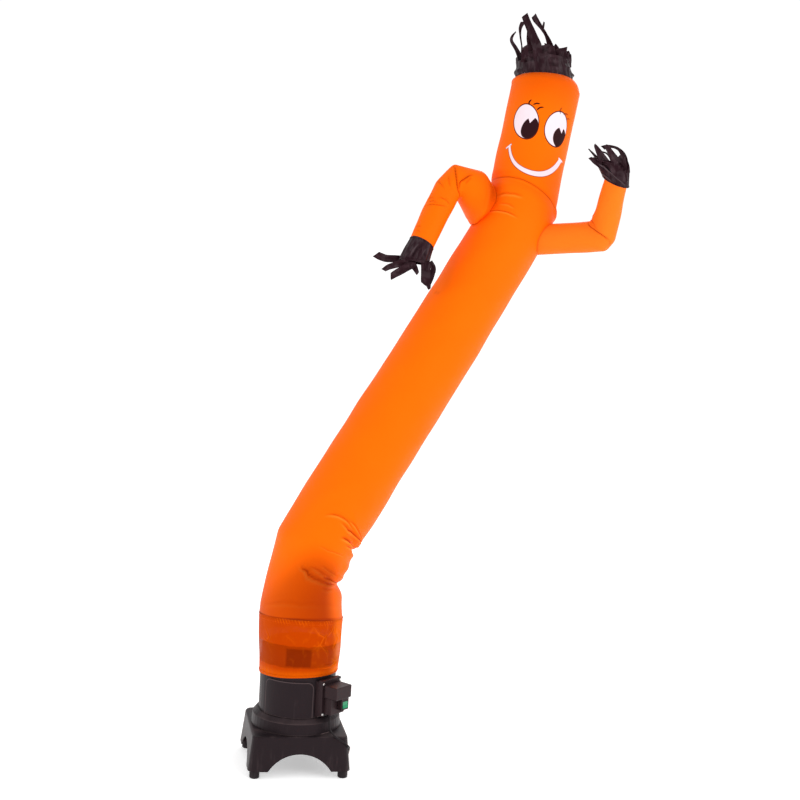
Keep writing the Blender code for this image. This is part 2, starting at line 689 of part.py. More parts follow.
def facing_front(column, columns):
    return max(0.0, -math.sin(2 * math.pi * column / columns))


def fold_depth(fold, row_station, stations, column, columns, pitch):
    """How far the cloth is drawn in (or swells, if negative) by one fold."""
    angle = 360.0 * column / columns
    away = (angle - fold.side + 180.0) % 360.0 - 180.0
    steps = (row_station - stations[fold.knot]) / pitch
    across = (1.0 - 1.5 * steps * steps) * math.exp(-steps * steps)
    return fold.depth * math.exp(-(away / fold.spread) ** 2) * across


def fold_climb(folds, row_station, stations, column, columns):
    """How far a row rises on the front, to follow the folds that climb there."""
    rise = 0.0
    for fold in folds:
        at = stations[fold.knot]
        ease = smooth_step(1.0 - abs(row_station - at) / fold.reach) * min(1.0, row_station / at)
        rise = max(rise, fold.climb * facing_front(column, columns) ** 2.5 * ease)
    return rise


def tube_grid(knots, folds, columns, straight, pitch, swell=0.0):
    """Rows of points of a bent cloth tube with its folds, from first knot to last."""
    rings, axes = mitred_rings(knots, columns)
    stations = knot_stations(knots)
    grid = []
    for station in tube_rows(knots, folds, straight, pitch):
        row = []
        for column in range(columns):
            lifted = station + fold_climb(folds, station, stations, column, columns)
            lifted = min(lifted, stations[-1])
            spot = along_column(rings, stations, column, lifted)
            far = along_column(rings, stations, (column + columns // 2) % columns, lifted)
            inward = (far - spot).normalized()
            depth = sum(fold_depth(fold, station, stations, column, columns, pitch)
                        for fold in folds)
            row.append(spot + inward * (depth - swell))
        grid.append(row)
    return grid, axes


def skin(shape, grid):
    """Joins rows of points into a tube whose faces look outwards, and returns its rows."""
    rows = [[shape.verts.new(spot) for spot in row] for row in grid]
    for lower, upper in zip(rows, rows[1:]):
        count = len(lower)
        for column in range(count):
            beside = (column + 1) % count
            shape.faces.new((lower[column], lower[beside], upper[beside], upper[column]))
    return rows


def cloth_wall(part, thickness=CLOTH):
    wall = part.modifiers.new("cloth", "SOLIDIFY")
    wall.thickness = thickness
    wall.offset = -1.0
    wall.use_even_offset = False
    return part


def crown_radius(height):
    share = min(height / CROWN_HEIGHT, 1.0)
    return BODY_KNOTS[-1].wide * (1.0 - share ** CROWN_POWER) ** (1.0 / CROWN_POWER)


def head_axes(height):
    """Ways up, right and back at a height above the brow; the rings level out upwards."""
    brow = BODY_KNOTS[-1]
    ease = max(0.35, 1.0 - height / CROWN_HEIGHT)
    right = Vector((1.0, 0.0, brow.right_rise * ease)).normalized()
    back = Vector((0.0, 1.0, -brow.front_rise)).normalized()
    return Vector(CROWN_LEAN).normalized(), right, back


def head_place(height):
    brow = BODY_KNOTS[-1]
    return Vector((brow.x, brow.y, brow.z)) + head_axes(height)[0] * height


def head_ring(height, radius):
    _, right, back = head_axes(height)
    return ring(head_place(height), right, back, radius, radius, COLUMNS)


def build_body(shop):
    grid, _ = tube_grid(BODY_KNOTS, BODY_FOLDS, COLUMNS, STRAIGHT_STEP, FOLD_PITCH)
    for share in CROWN_SHARES:
        grid.append(head_ring(CROWN_HEIGHT * share, crown_radius(CROWN_HEIGHT * share)))
    grid[0] = lift_row(grid[0], GAP * 2)
    shape = bmesh.new()
    rows = skin(shape, grid)
    pole = shape.verts.new(head_place(CROWN_HEIGHT))
    for column in range(COLUMNS):
        shape.faces.new((rows[-1][column], rows[-1][(column + 1) % COLUMNS], pole))
    cloth_wall(shop.add("body_tube", mesh_from("body_tube", shape), "orange"))


def lift_row(row, height):
    return [spot + Vector((0, 0, height)) for spot in row]


def hem_height(column, columns):
    angle = math.radians(360.0 * column / columns + HEM_TURN)
    return HEM_WAVE * math.cos(angle)


def build_sleeve(shop):
    """Sheer sleeve whose hem rises and falls a little round the housing."""
    grid, _ = tube_grid(SLEEVE_KNOTS, (), COLUMNS, 0.05, 0.01)
    waves = [Vector((0, 0, hem_height(column, COLUMNS))) for column in range(COLUMNS)]
    grid[0] = [spot + wave for spot, wave in zip(grid[0], waves)]
    shape = bmesh.new()
    skin(shape, grid)
    cloth_wall(shop.add("base_sleeve", mesh_from("base_sleeve", shape), "sheer"))


def body_cutter(shop, name):
    """The outside of the body near the shoulders, a hair larger than the cloth."""
    grid, _ = tube_grid(BODY_KNOTS, BODY_FOLDS, COLUMNS, STRAIGHT_STEP, FOLD_PITCH, swell=GAP * 2)
    shape = bmesh.new()
    rows = skin(shape, grid[-18:])
    shape.faces.new(list(reversed(rows[0])))
    shape.faces.new(rows[-1])
    return shop.cutter(name, mesh_from(name, shape))


def build_arm(shop, name, knots, fold):
    grid, _ = tube_grid(knots, (fold,), ARM_COLUMNS, ARM_STEP, ARM_FOLD_PITCH)
    shape = bmesh.new()
    skin(shape, grid)
    arm = cloth_wall(shop.add(name, mesh_from(name, shape), "orange"))
    cut(arm, body_cutter(shop, name + "_trim"))


# ---- black hands and hair ----

def build_cuff(shop, name, knots):
    grid, axes = tube_grid(knots, (), ARM_COLUMNS, 0.02, 0.005)
    shape = bmesh.new()
    skin(shape, grid)
    cloth_wall(shop.add(name, mesh_from(name, shape), "black_cloth"))
    return axes


def bezier(start, middle, end, share):
    return start.lerp(middle, share).lerp(middle.lerp(end, share), share)


def strip_path(strip, root, centre):
    bend = centre + Vector((strip.bend_x, strip.bend_y, strip.bend_z))
    tip = centre + Vector((strip.tip_x, strip.tip_y, strip.tip_z))
    return [bezier(root, bend, tip, step / STRIP_STEPS) for step in range(STRIP_STEPS + 1)]


def grow_strip(shape, strip, corners, centre):
    """Draws a flat cloth strip out of the four corners on the edge of its backing.

    The corners run inner start, inner end, outer end, outer start.
    """
    spots = [corner.co.copy() for corner in corners]
    root = sum(spots, Vector()) / 4
    width_way = ((spots[1] + spots[2]) - (spots[0] + spots[3])).normalized()
    path = strip_path(strip, root, centre)
    before = corners
    way = (path[1] - path[0]).normalized()
    start_width = ((spots[1] + spots[2]) - (spots[0] + spots[3])).length / 2
    for step in range(1, STRIP_STEPS + 1):
        ahead = path[min(step + 1, STRIP_STEPS)] - path[step - 1]
        turn = way.rotation_difference(ahead.normalized())
        way = ahead.normalized()
        width_way = turn @ width_way
        width_way = Matrix.Rotation(math.radians(strip.turn / STRIP_STEPS), 3, way) @ width_way
        width_way = (width_way - way * width_way.dot(way)).normalized()
        face_way = way.cross(width_way).normalized() * STRIP_CLOTH / 2
        half = width_way * (start_width + (strip.width - start_width) * step / STRIP_STEPS) / 2
        here = path[step]
        now = [shape.verts.new(spot) for spot in (
            here - half + face_way, here + half + face_way,
            here + half - face_way, here - half - face_way)]
        for side in range(4):
            beside = (side + 1) % 4
            shape.faces.new((before[side], before[beside], now[beside], now[side]))
        before = now
    shape.faces.new(before)


def strip_angles(strips, wide, deep):
    """Angles round the backing: where each strip starts and ends, and points between."""
    spans = []
    for strip in sorted(strips, key=lambda item: item.root % 360):
        angle = math.radians(strip.root)
        speed = math.hypot(wide * math.sin(angle), deep * math.cos(angle))
        half = math.degrees(strip.width * STRIP_ROOT_SHARE / speed) / 2
        spans.append((strip.root % 360 - half, strip.root % 360 + half, strip))
    cuts = []
    for index, (start, end, strip) in enumerate(spans):
        following = spans[(index + 1) % len(spans)][0]
        if index == len(spans) - 1:
            following += 360
        cuts.append((start, strip))
        room = following - end
        extra = max(1, round(room / 24))
        for step in range(extra):
            cuts.append((end + room * step / extra, None))
    return cuts


def build_fringe(shop, name, strips, axes, centre, wide, deep, kind="black_cloth"):
    """A narrow backing ring with its strips fused to its outer edge."""
    along, right, back = axes
    cuts = strip_angles(strips, wide, deep)
    shape = bmesh.new()
    levels = []
    for lift in (0.0, STRIP_HEIGHT):
        for inset in (STRIP_CLOTH, 0.0):
            row = []
            for degrees, _ in cuts:
                angle = math.radians(degrees)
                spot = (centre + along * lift + right * (wide - inset) * math.cos(angle)
                        + back * (deep - inset) * math.sin(angle))
                row.append(shape.verts.new(spot))
            levels.append(row)
    inner_foot, outer_foot, inner_top, outer_top = levels
    count = len(cuts)
    head = centre + along * STRIP_HEIGHT
    for index, (_, strip) in enumerate(cuts):
        beside = (index + 1) % count
        shape.faces.new((outer_foot[index], outer_foot[beside],
                         outer_top[beside], outer_top[index]))
        shape.faces.new((inner_foot[beside], inner_foot[index],
                         inner_top[index], inner_top[beside]))
        shape.faces.new((inner_foot[index], inner_foot[beside],
                         outer_foot[beside], outer_foot[index]))
        corners = (inner_top[index], inner_top[beside], outer_top[beside], outer_top[index])
        if strip is None:
            shape.faces.new(tuple(reversed(corners)))
        else:
            grow_strip(shape, strip, corners, head)
    bmesh.ops.recalc_face_normals(shape, faces=shape.faces)
    shop.add(name, mesh_from(name, shape), kind)


def build_hand(shop, side, knots, fingers):
    axes = build_cuff(shop, side + "_cuff", knots)
    edge = knots[-1]
    centre = Vector((edge.x, edge.y, edge.z)) + axes[0] * GAP * 2
    build_fringe(shop, side + "_fingers", fingers, axes, centre, edge.wide, edge.deep)


def build_hair(shop):
    """Band that follows the crown's shoulder, and the strips above it."""
    foot = crown_radius(BAND_SEAT) + BAND_CLEARANCE + CLOTH
    top = BAND_SEAT + BAND_HEIGHT
    levels = ((BAND_SEAT, foot), (BAND_SEAT + 0.015, foot - 0.002), (top - 0.020, BAND_RADIUS),
              (top, BAND_RADIUS))
    shape = bmesh.new()
    skin(shape, [head_ring(height, radius) for height, radius in levels])
    cloth_wall(shop.add("hair_band", mesh_from("hair_band", shape), "black_cloth"))
    centre = head_place(top + GAP * 2)
    build_fringe(shop, "hair_strips", HAIR_STRIPS, head_axes(top), centre,
                 BAND_RADIUS, BAND_RADIUS)


# ---- mains cord ----

def smooth_path(points, steps):
    """Places on one smooth curve through the points, steps to each stretch."""
    spots = [Vector(point) for point in points]
    spots = [spots[0] * 2 - spots[1]] + spots + [spots[-1] * 2 - spots[-2]]
    path = []
    for first, here, there, last in zip(spots, spots[1:], spots[2:], spots[3:]):
        for step in range(steps):
            share = step / steps
            path.append(0.5 * (2 * here + (there - first) * share
                               + (2 * first - 5 * here + 4 * there - last) * share ** 2
                               + (3 * here - first - 3 * there + last) * share ** 3))
    path.append(spots[-2])
    return path


def build_cord(shop):
    relief = cylinder_mesh("strain_relief", RELIEF_END_RADIUS, -RELIEF_LENGTH, 0.0, sides=16,
                           top_radius=RELIEF_TOP_RADIUS)
    part = shop.add("strain_relief", relief, "rubber")
    part.location = box_frame() @ Vector((CORD_OUT, CORD_ALONG, BODY_FOOT_Z - GAP))
    path = smooth_path(CORD_ROUTE, CORD_STEPS)
    line = bpy.data.curves.new("mains_cord", "CURVE")
    line.dimensions = "3D"
    line.bevel_depth = CORD / 2
    line.bevel_resolution = 2
    line.use_fill_caps = True
    spline = line.splines.new("POLY")
    spline.points.add(len(path) - 1)
    for point, place in zip(spline.points, path):
        point.co = (*place, 1.0)
    shop.add("mains_cord", line, "rubber")
    low, high = COIL_RADIUS - CORD, COIL_RADIUS + CORD
    coil = turned(shop, "cord_coil", (
        (low, COIL_HEIGHT - 0.002), (low + 0.002, COIL_HEIGHT), (high - 0.002, COIL_HEIGHT),
        (high, COIL_HEIGHT - 0.002), (high, 0.002), (high - 0.002, 0.0), (low + 0.002, 0.0),
        (low, 0.002),
    ), "rubber", sides=28)
    coil.location = (*COIL_CENTRE, 0.0)


def build_plug(shop):
    """Moulded plug lying behind the base, with two flat blades and a round earth pin."""
    body = box_mesh("plug_body", (0.0, -0.0125, -0.0112), (PLUG_LENGTH, 0.0125, 0.0112), 0.005)
    plug = shop.add("plug_body", body, "rubber")
    plug.location = PLUG_PLACE
    thick, tall = BLADE_SIZE
    start = PLUG_LENGTH + GAP
    for number, side in enumerate((-1, 1), start=1):
        middle = side * BLADE_SPREAD / 2
        blade = box_mesh("blade", (start, middle - thick / 2, 0.0),
                         (start + BLADE_LENGTH, middle + thick / 2, tall))
        part = shop.add(f"plug_blade_{number}", blade, "brass")
        part.location = PLUG_PLACE
    pin = cylinder_mesh("plug_pin", EARTH_RADIUS, 0.0, BLADE_LENGTH, sides=12)
    part = shop.add("plug_pin", pin, "brass")
    part.rotation_euler.y = math.radians(90)
    part.location = Vector(PLUG_PLACE) + Vector((start, 0.0, -EARTH_DROP))


def main():
    clear_scene()
    shop = Workshop()
    build_base(shop)
    build_feet(shop)
    build_housing(shop)
    build_panel(shop)
    build_guard(shop)
    build_control_box(shop)
    build_switch(shop)
    build_sleeve(shop)
    build_body(shop)
    build_arm(shop, "left_arm", LEFT_ARM_KNOTS, LEFT_ARM_FOLD)
    build_arm(shop, "right_arm", RIGHT_ARM_KNOTS, RIGHT_ARM_FOLD)
    build_hand(shop, "left", LEFT_CUFF_KNOTS, LEFT_FINGERS)
    build_hand(shop, "right", RIGHT_CUFF_KNOTS, RIGHT_FINGERS)
    build_hair(shop)
    build_cord(shop)
    build_plug(shop)
    bpy.context.view_layer.update()


main()
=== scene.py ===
"""Inflatable air dancer on its floor blower: cloth, print, mouldings and mains lead.

Lengths are in metres and angles in degrees. Only ROUTE and the rows given to knots, creases and
strips count tenths of a millimetre. The front looks along -Y and +Z is up. Tables of places are
measured from the blower's upright axis on the floor. Angles round a tube start at the figure's
right-hand edge seen from the front and run towards its back, so -90 faces front.
"""
from __future__ import annotations

import logging
import math
from dataclasses import dataclass, field
from enum import Enum
from typing import Any, Callable, Iterable, Sequence

import bmesh
import bpy
import numpy as np
from mathutils import Matrix, Vector
from mathutils.bvhtree import BVHTree


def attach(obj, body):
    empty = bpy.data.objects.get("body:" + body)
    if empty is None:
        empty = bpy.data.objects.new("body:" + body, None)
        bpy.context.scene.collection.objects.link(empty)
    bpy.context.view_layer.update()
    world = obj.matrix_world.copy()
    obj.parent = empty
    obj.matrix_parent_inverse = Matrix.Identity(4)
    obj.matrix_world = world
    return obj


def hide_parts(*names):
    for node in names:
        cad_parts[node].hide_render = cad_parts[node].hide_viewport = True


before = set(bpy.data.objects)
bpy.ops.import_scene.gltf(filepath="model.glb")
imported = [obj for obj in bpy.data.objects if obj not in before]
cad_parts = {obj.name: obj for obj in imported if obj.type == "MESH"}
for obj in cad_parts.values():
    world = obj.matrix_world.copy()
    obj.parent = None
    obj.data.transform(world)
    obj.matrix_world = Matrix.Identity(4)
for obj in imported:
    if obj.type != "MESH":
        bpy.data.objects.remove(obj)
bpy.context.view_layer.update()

LOG = logging.getLogger("air_dancer")
BLOWER_AXIS = Vector((-0.493, -0.159, 0.0))
TENTHS = 10000  # of a millimetre, in a metre
TURN = 2 * math.pi
Colour = tuple[float, float, float]
Triple = tuple[float, float, float]
Array = np.ndarray
Material = bpy.types.Material
Piece = bpy.types.Object


# ---- shader maths ----

def maths(operation: str, swapped: bool = False) -> Callable[..., "Link"]:
    """Makes a method that puts one Math node over a link and the values it is called with.

    Args:
        operation: what the node does.
        swapped: whether the link comes last.

    Returns:
        The method.
    """
    def method(self: "Link", *others: "Link | float") -> "Link":
        """One Math node over the values, in their order."""
        values = (*others, self) if swapped else (self, *others)
        return self.recipe.node("ShaderNodeMath", {"operation": operation},
                                dict(enumerate(values)))
    return method


class Link:
    """An output socket that takes part in Python expressions, one Math node an operation."""

    __add__ = __radd__ = maths("ADD")
    __sub__, __rsub__ = maths("SUBTRACT"), maths("SUBTRACT", True)
    __mul__ = __rmul__ = maths("MULTIPLY")
    __truediv__ = maths("DIVIDE")
    sine, absolute, root = maths("SINE"), maths("ABSOLUTE"), maths("SQRT")
    largest, smallest = maths("MAXIMUM"), maths("MINIMUM")

    def __init__(self, recipe: "Recipe", socket: bpy.types.NodeSocket) -> None:
        """Wraps a socket of a material recipe's tree."""
        self.recipe = recipe
        self.socket = socket

    def eased(self, low: float, high: float) -> "Link":
        """Smooth step from 0 at low to 1 at high, which may run downwards."""
        return self.recipe.node("ShaderNodeMapRange", {"interpolation_type": "SMOOTHSTEP"},
                                {"Value": self, "From Min": low, "From Max": high})


class Recipe:
    """A material and the few calls that build its node tree."""

    def __init__(self, name: str) -> None:
        """Starts an empty material tree under a name."""
        self.material = bpy.data.materials.new(name)
        self.material.use_nodes = True
        self.tree = self.material.node_tree
        self.tree.nodes.clear()
        self.output = self.tree.nodes.new("ShaderNodeOutputMaterial")

    def node(self, kind: str, settings: dict[str, Any], values: dict[Any, Any],
             output: int | str = 0) -> Link:
        """Adds any node.

        Args:
            kind: the node's type.
            settings: its properties, set before its sockets.
            values: what each input socket holds, a number, a tuple or a Link.
            output: which output is returned.

        Returns:
            The chosen output.
        """
        made = self.tree.nodes.new(kind)
        for key, value in settings.items():
            setattr(made, key, value)
        for key, value in values.items():
            self.feed(made.inputs[key], value)
        return Link(self, made.outputs[output])

    def feed(self, socket: bpy.types.NodeSocket, value: Any) -> None:
        """Links a socket to a Link, or sets its own value.

        Args:
            socket: an input socket.
            value: a Link, a number or a tuple.
        """
        if isinstance(value, Link):
            self.tree.links.new(value.socket, socket)
        elif isinstance(value, tuple) and len(value) == 3 and socket.type == "RGBA":
            socket.default_value = (*value, 1.0)
        else:
            socket.default_value = value

    def place(self) -> Link:
        """Place on the piece in metres."""
        return self.node("ShaderNodeTexCoord", {}, {}, "Object")

    def cloth_place(self) -> Link:
        """Place on the flat cloth in metres, from the piece's own map."""
        return self.node("ShaderNodeUVMap", {"uv_map": "cloth"}, {}, "UV")

    def pinched(self) -> Link:
        """Painted shade of a crease, from the pinch attribute, or less than 0 for a painted
        highlight on its lip.
        """
        return self.node("ShaderNodeAttribute", {"attribute_name": "pinch"}, {}, "Fac")

    def parts(self, vector: Link) -> tuple[Link, Link, Link]:
        """The three numbers of a vector."""
        split = self.node("ShaderNodeSeparateXYZ", {}, {0: vector})
        return tuple(Link(self, output) for output in split.socket.node.outputs)

    def cloud(self, vector: Link, scale: float, detail: float = 3.0, rough: float = 0.5) -> Link:
        """Soft random values from 0 to 1."""
        return self.node("ShaderNodeTexNoise", {}, {"Vector": vector, "Scale": scale,
                                                    "Detail": detail, "Roughness": rough})

    def streaks(self, vector: Link, scale: Triple, detail: float) -> Link:
        """Soft random values from 0 to 1, drawn out along an axis."""
        return self.cloud(self.node("ShaderNodeMapping", {}, {"Vector": vector, "Scale": scale}),
                          1.0, detail)

    def blend(self, share: Link | float, first: Any, second: Any) -> Link:
        """Mixes two colours."""
        return self.node("ShaderNodeMix", {"data_type": "RGBA"},
                         {0: share, 6: first, 7: second}, 2)

    def bump(self, height: Link, distance: float) -> Link:
        """Relief for a shader's Normal socket."""
        return self.node("ShaderNodeBump", {}, {"Height": height, "Distance": distance})

    def done(self, values: dict[str, Any]) -> Material:
        """Ends the tree in one Principled shader, whose sockets hold the values.

        Args:
            values: what the shader's sockets hold.

        Returns:
            The finished material.
        """
        shader = self.node("ShaderNodeBsdfPrincipled", {}, values)
        self.tree.links.new(shader.socket, self.output.inputs["Surface"])
        return self.material


# ---- finishes ----

@dataclass(frozen=True)
class Nylon:
    """Thin woven nylon, its weave laid out on the flat cloth."""

    name: str
    colour: Colour
    deep: Colour
    shadow: Colour = (0.36, 0.030, 0.0008)
    roughness: float = 0.50
    weave: float = 0.0011
    relief: float = 0.00006
    gloss: float = 0.09
    tint: Colour = (1.0, 0.45, 0.12)
    # crease is the share of painted shade in creases; lifted is the painted highlight colour on
    # their lips.
    crease: float = 0.85
    lifted: Colour = (1.0, 0.30, 0.035)

    def ground(self, recipe: Recipe) -> tuple[Link, Link, Link]:
        """Colour, relief and roughness of the plain cloth, with painted shade in its creases and a
        painted highlight on their lips.

        Args:
            recipe: the recipe that the nodes go into.

        Returns:
            The colour, the height of the weave and the roughness.
        """
        cloth = recipe.cloth_place()
        across, along, _ = recipe.parts(cloth)
        turn = TURN / self.weave
        threads = (across * turn).sine() * (along * turn).sine()
        grid = [(way * (turn / 8)).sine().absolute().eased(0.10, 0.02)
                for way in (across, along)]
        clouds = recipe.cloud(cloth, 3.2, 4.0)
        streaks = recipe.streaks(cloth, (6.0, 160.0, 1.0), 2.0)
        pinched = recipe.pinched()
        shade = clouds.eased(0.25, 0.80) * 0.22 + streaks * 0.08
        colour = recipe.blend(shade, self.colour, self.deep)
        # Painted shade in creases and painted highlight on their lips, from the pinch attribute.
        colour = recipe.blend(pinched.largest(0.0) * self.crease, colour, self.shadow)
        colour = recipe.blend((pinched * -1.0).largest(0.0), colour, self.lifted)
        height = threads * 0.5 + grid[0].largest(grid[1]) * 0.8
        rough = clouds * 0.12 + (self.roughness - 0.06)
        return colour, height, rough

    def dressed(self, recipe: Recipe, colour: Link, height: Link) -> tuple[Link, Link, Any]:
        """What a kind of nylon adds to the plain cloth: nothing, on plain nylon.

        Args:
            recipe: the recipe that holds the nodes.
            colour: the plain cloth's colour.
            height: the height of its weave.

        Returns:
            The colour, the height, and how much the cloth hides of what lies behind it.
        """
        return colour, height, 1.0

    def make(self) -> Material:
        """The finished material."""
        recipe = Recipe(self.name)
        colour, height, rough = self.ground(recipe)
        colour, height, alpha = self.dressed(recipe, colour, height)
        return recipe.done({"Base Color": colour, "Roughness": rough, "Alpha": alpha,
                            "Normal": recipe.bump(height, self.relief),
                            "Specular IOR Level": self.gloss, "Specular Tint": self.tint})


@dataclass(frozen=True)
class Oval:
    """An oval on the flat cloth: its middle, half sizes and the turn of its long side."""

    across: float
    along: float
    wide: float
    tall: float
    turn: float

    def gap(self, across: Link, along: Link) -> Link:
        """How far places lie outside the oval, in metres, near its edge.

        Args:
            across: distance across the flat cloth.
            along: distance along it.

        Returns:
            The distances.
        """
        cosine, sine = math.cos(math.radians(self.turn)), math.sin(math.radians(self.turn))
        over, up = across - self.across, along - self.along
        sideways = (over * cosine + up * sine) / self.wide
        lengthways = (up * cosine - over * sine) / self.tall
        return ((sideways * sideways + lengthways * lengthways).root() - 1.0) * self.wide


@dataclass(frozen=True)
class Arc:
    """A thin curved stroke: the middle and radius of its circle, and its mid and half turn."""

    across: float
    along: float
    radius: float
    middle: float
    half: float

    def mask(self, across: Link, along: Link, thick: float) -> Link:
        """One on the stroke and none off it.

        Args:
            across: distance across the flat cloth.
            along: distance along it.
            thick: half the width of the stroke.

        Returns:
            The mask.
        """
        over, up = across - self.across, along - self.along
        off = ((over * over + up * up).root() - self.radius).absolute()
        way = math.radians(self.middle)
        reach = over * math.cos(way) + up * math.sin(way)
        edge = self.radius * math.cos(math.radians(self.half))
        return off.eased(thick + 0.0005, thick - 0.0005) * reach.eased(edge - 0.0004,
                                                                      edge + 0.0004)


@dataclass(frozen=True)
class Eye:
    """A white oval with a dark pupil, a wedge of glint cut from it, and lashes."""

    white: Oval
    pupil: Oval
    glint: tuple[float, float, float, float]
    lashes: tuple[Arc, ...]
    bold: float = 1.0


EYES = (
    Eye(Oval(-0.0937, 2.1408, 0.0566, 0.0788, 16.1), Oval(-0.0710, 2.1140, 0.0345, 0.0505, -18.0),
        (-0.0729, 2.1358, 118.6, 56.9),
        (Arc(-0.0824, 2.2256, 0.0120, 165.5, 57.5), Arc(-0.0570, 2.2090, 0.0179, 106.5, 42.5),
         Arc(-0.0331, 2.1946, 0.0198, 126.0, 43.0))),
    Eye(Oval(0.0498, 2.1495, 0.0558, 0.0740, -14.2), Oval(0.0728, 2.1230, 0.0342, 0.0440, -24.0),
        (0.0788, 2.1429, 136.7, 72.4),
        (Arc(0.0605, 2.2265, 0.0130, 178.0, 58.0), Arc(0.0880, 2.2040, 0.0212, 105.0, 37.0),
         Arc(0.1090, 2.1890, 0.0230, 108.0, 27.0)), 0.62),
)
SMILE = (Oval(0.0016, 2.1685, 0.1552, 0.2588, -15.9),
         Oval(-0.0127, 2.1246, 0.1298, 0.1940, -17.9))
SMILE_SLOPE = 0.098
SMILE_TOP = 2.0382
SMILE_TICKS = ((-0.1640, 2.0140, -0.1420, 2.0300), (0.0960, 2.0490, 0.1270, 2.0500))


@dataclass(frozen=True)
class PrintedNylon(Nylon):
    """The body's nylon: a printed face, and painted shade towards the seam and on the crown."""

    white: Colour = (0.84, 0.69, 0.75)
    ink: Colour = (0.022, 0.006, 0.010)
    line: Colour = (0.10, 0.012, 0.004)
    stroke: Colour = (0.055, 0.008, 0.004)
    thin: float = 0.0024
    sharp: float = 0.0006

    def dressed(self, recipe: Recipe, colour: Link, height: Link) -> tuple[Link, Link, Any]:
        """The cloth with painted shade towards its seam and on its crown, and its printed face."""
        across, along, _ = recipe.parts(recipe.cloth_place())
        # Painted shade: darker low down near the seam, most on the right but less at the right
        # edge, a thin line at the seam, and on the crown's middle.
        right = across.eased(-0.22, 0.08) * across.eased(0.44, 0.20)
        edge = across.eased(0.068, 0.150) * across.eased(0.30, 0.24)
        low = along.eased(0.24, 0.03) * (right * 0.42 + 0.58) * (1.0 - edge * 0.80)
        seam = along.eased(0.0055, 0.0025)
        crown = along.eased(2.17, 2.39)
        centre = across.eased(-0.20, -0.05) * across.eased(0.16, 0.02)
        dark = low * 0.92 + seam * 0.25 + crown * (centre * 0.20 + 0.30)
        colour = recipe.blend(dark.smallest(1.0), colour, self.shadow)
        for eye in EYES:
            colour = self._eye(recipe, colour, eye, across, along)
        return self._smile(recipe, colour, across, along), height, 1.0

    def _eye(self, recipe: Recipe, colour: Link, eye: Eye, across: Link, along: Link) -> Link:
        """Prints one eye over the colour.

        Args:
            recipe: the recipe that holds the nodes.
            colour: what is there already.
            eye: the eye.
            across: distance across the flat cloth.
            along: distance along it.

        Returns:
            The new colour.
        """
        rim = eye.white.gap(across, along)
        inside = rim.eased(self.sharp, -self.sharp)
        colour = recipe.blend(rim.absolute().eased(self.thin + 0.0010, self.thin), colour,
                              self.line)
        colour = recipe.blend(rim.eased(-self.sharp, -3 * self.sharp), colour, self.white)
        over, up, left, right = eye.glint
        left, right = math.radians(left), math.radians(right)
        first = (across - over) * math.sin(left) - (along - up) * math.cos(left)
        second = (along - up) * math.cos(right) - (across - over) * math.sin(right)
        wedge = first.eased(-self.sharp, self.sharp) * second.eased(-self.sharp, self.sharp)
        pupil = eye.pupil.gap(across, along).eased(0.0008, -0.0008) * inside * (1.0 - wedge)
        colour = recipe.blend(pupil, colour, self.ink)
        for lash in eye.lashes:
            colour = recipe.blend(lash.mask(across, along, self.thin * 1.45) * eye.bold, colour,
                                  self.stroke)
        return colour

    def _smile(self, recipe: Recipe, colour: Link, across: Link, along: Link) -> Link:
        """Prints the smile and the ticks at its ends over the colour.

        Args:
            recipe: the recipe that holds the nodes.
            colour: what is there already.
            across: distance across the flat cloth.
            along: distance along it.

        Returns:
            The new colour.
        """
        below = (along - across * SMILE_SLOPE).eased(SMILE_TOP + 0.001, SMILE_TOP - 0.001)
        lower, upper = (oval.gap(across, along) for oval in SMILE)
        band = lower.eased(0.0008, -0.0008) * upper.eased(-0.0008, 0.0008) * below
        rim = lower.eased(0.0030, 0.0018) * upper.eased(-0.0030, -0.0018) * below
        for x, y, end_x, end_y in SMILE_TICKS:
            run_x, run_y = end_x - x, end_y - y
            size = run_x ** 2 + run_y ** 2
            over, up = across - x, along - y
            share = ((over * run_x + up * run_y) / size).largest(0.0).smallest(1.0)
            off_x, off_y = over - share * run_x, up - share * run_y
            gap = (off_x * off_x + off_y * off_y).root()
            band = band.largest(gap.eased(0.0042, 0.0028))
            rim = rim.largest(gap.eased(0.0062, 0.0050))
        colour = recipe.blend(rim * 0.7, colour, self.line)
        return recipe.blend(band, colour, self.white)


